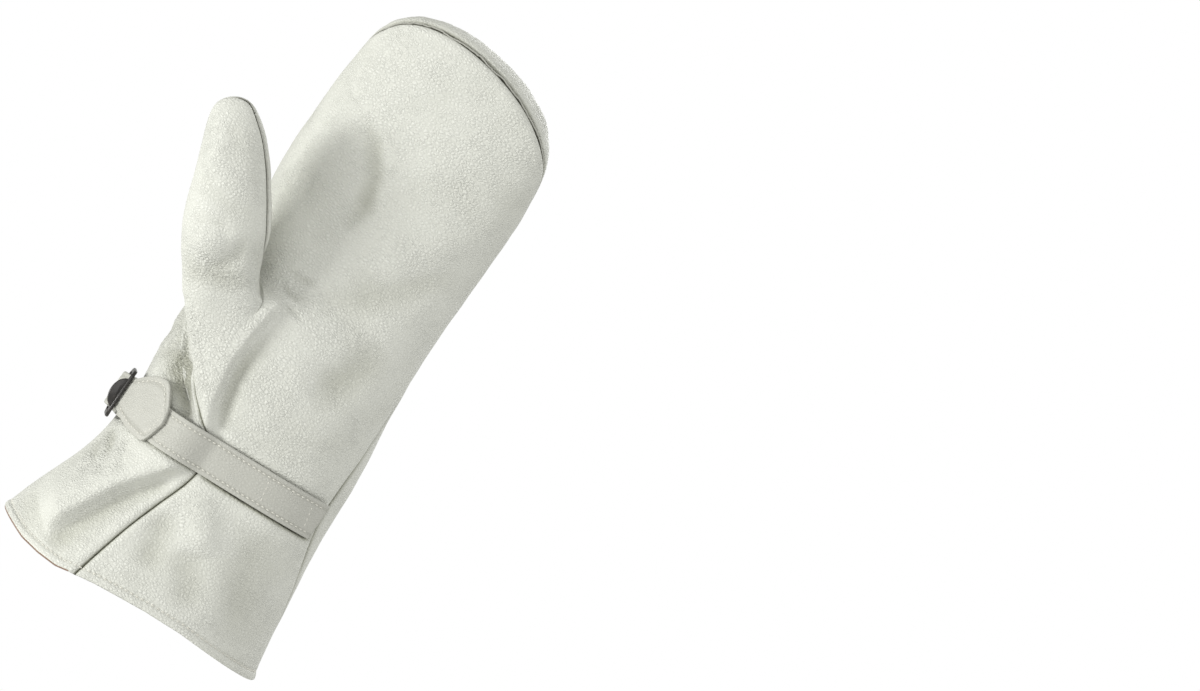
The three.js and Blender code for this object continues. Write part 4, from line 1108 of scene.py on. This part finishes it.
def hem_stitches(skin):
    """One row of stitches round the cuff, above the turned edge."""
    points, ups = [], []
    edge = skin.points[skin.above_hem < 0.01]
    edge_deg = np.degrees(np.arctan2(edge[:, 1], edge[:, 0]))
    order = np.argsort(edge_deg)
    for deg in np.linspace(-180, 180, 361):
        z = np.interp(deg, edge_deg[order], edge[order, 2], period=360) + HEM_STITCH
        out = Vector((np.cos(np.radians(deg)), np.sin(np.radians(deg)), 0))
        place, up, _, _ = skin.tree.ray_cast(Vector((0, 0, z)) + out * BEYOND, -out)
        points.append(place)
        ups.append(up if up.dot(out) > 0 else -up)
    run = (np.array(points), np.array(ups))
    finish_piece(stitches("hem_stitches", [run], 3.2, 2.3, 0.46), THREAD, None)


def make_loop(wrist):
    """The short loop from the back seam, folded round the buckle's far bar."""
    radius = BUCKLE_BAR / 2 + 0.5 + LOOP_WALL / 2 + 0.5
    bar_u = -(BUCKLE_DEPTH - BUCKLE_BAR) / 2
    raw = np.concatenate([wrist.line(LOOP_START, LOOP_TURN, 1.0 + LOOP_WALL * 1.5),
                          wrist.turn(bar_u, radius, -1)[::-1],
                          wrist.line(LOOP_TURN, LOOP_START, 0.5 + LOOP_WALL / 2)])
    path = softened(resampled(raw, 0.9)[0], 4)
    half = STRAP_WIDTH / 2 - 0.5
    low, high = np.full(len(path), STRAP_LEVEL - half), np.full(len(path), STRAP_LEVEL + half)
    obj, _ = ribbon("loop_leather", path, low, high, LOOP_WALL, strap_section(half, LOOP_WALL, 0.2, 0.2))
    finish_piece(obj, STRAP_HIDE, "strap_leather", "buckle_loop")
    n = len(path) // 3
    runs = []
    for side in (-1, 1):
        spots = np.concatenate([path[:n], np.full((n, 1), STRAP_LEVEL + side * (half - STITCH_INSET))], 1)
        along = along_of(path[:n])
        out = np.stack([along[:, 1], -along[:, 0]], 1)
        out *= np.sign((out * path[:n]).sum(1))[:, None]
        ups = np.concatenate([out, np.zeros((n, 1))], 1)
        runs.append((spots + ups * (LOOP_WALL / 2 - 0.1), ups))
    finish_piece(stitches("loop_stitches", runs, 2.9, 2.1, 0.34), THREAD, None)


def make_buckle(wrist):
    """Pressed steel slide: a rounded frame, a toothed middle bar and a half-round lever for the thumb.

    It is drawn flat, with u round the wrist, v along the hand and n out of the leather, then set in place.
    """
    out3, along3 = np.append(wrist.out, 0), np.append(wrist.along, 0)
    across3 = np.cross(out3, along3)

    def placed(local):
        """Local points to their place; the frame's ends bow a little towards the leather."""
        local = np.asarray(local, float)
        n = local[:, 2] - 0.0035 * local[:, 1] ** 2
        centre = np.append(wrist.centre, STRAP_LEVEL)
        return centre + local[:, :1] * along3 + local[:, 1:2] * across3 + n[:, None] * out3

    def ring_bar(corners, width, wall):
        """A bar round a rounded rectangle of half sizes a and b, with a soft-edged section."""
        a, b = corners
        radius, path = 3.2, []
        for cx, cy, start in ((1, 1, 0), (-1, 1, 90), (-1, -1, 180), (1, -1, 270)):
            for deg in np.linspace(start, start + 90, 8):
                t = np.radians(deg)
                path.append((cx * (a - radius) + radius * np.cos(t), cy * (b - radius) + radius * np.sin(t)))
        path = np.array(path)
        run = np.roll(path, -1, 0) - np.roll(path, 1, 0)
        run /= np.linalg.norm(run, axis=1)[:, None]
        side = np.stack([run[:, 1], -run[:, 0]], 1)
        section = rounded_section(width / 2, wall / 2, 0.7)
        rings = np.zeros((len(path), len(section), 3))
        rings[:, :, :2] = path[:, None] + side[:, None] * section[None, :, :1]
        rings[:, :, 2] = section[None, :, 1]
        return rings

    half = (BUCKLE_HEIGHT - BUCKLE_BAR) / 2
    rings = ring_bar(((BUCKLE_DEPTH - BUCKLE_BAR) / 2, half), BUCKLE_BAR, BUCKLE_WALL)
    body = swept("buckle_steel", placed(rings.reshape(-1, 3)).reshape(rings.shape), closed=True)
    v = np.linspace(-half, half, 61)
    section = rounded_section(BUCKLE_BAR / 2, (BUCKLE_WALL - 0.4) / 2, 0.6)
    tooth = 0.5 * (np.abs((v / 2.4) % 1 - 0.5) * 2)
    middle = np.array([[(across + tooth[k] * (across > 0), y, up) for across, up in section]
                       for k, y in enumerate(v)])
    bar = swept("buckle_middle_bar", placed(middle.reshape(-1, 3)).reshape(middle.shape))
    lever_u = BUCKLE_DEPTH / 2 - BUCKLE_BAR / 2
    t = np.linspace(0, np.pi, 25)
    faces = []
    for depth, inset in ((-1, 0.5), (-0.72, 0.12), (-0.4, 0), (0.4, 0), (0.72, 0.12), (1, 0.5)):
        r, u = LEVER_HALF - inset, lever_u + depth * LEVER_WALL / 2
        rim = np.stack([np.full(25, u), np.cos(t) * r, np.sin(t) * (LEVER_HEIGHT - inset)], 1)
        foot = np.array([[u, -r, -0.6], [u, r, -0.6]])
        faces.append(np.concatenate([rim, foot]))
    faces = np.array(faces)
    lever = swept("buckle_lever", placed(faces.reshape(-1, 3)).reshape(faces.shape))
    for obj, name in ((body, "buckle"), (bar, None), (lever, None)):
        finish_piece(obj, ENAMEL, "buckle_enamel", *([name] if name else []))


def main():
    set_camera()
    set_stage()
    skin = Skin()
    make_panels(skin)
    make_welts(skin)
    wrist = Wrist(skin)
    strap = make_strap(wrist)
    strap_stitches(strap)
    make_loop(wrist)
    make_buckle(wrist)
    hem_stitches(skin)


main()
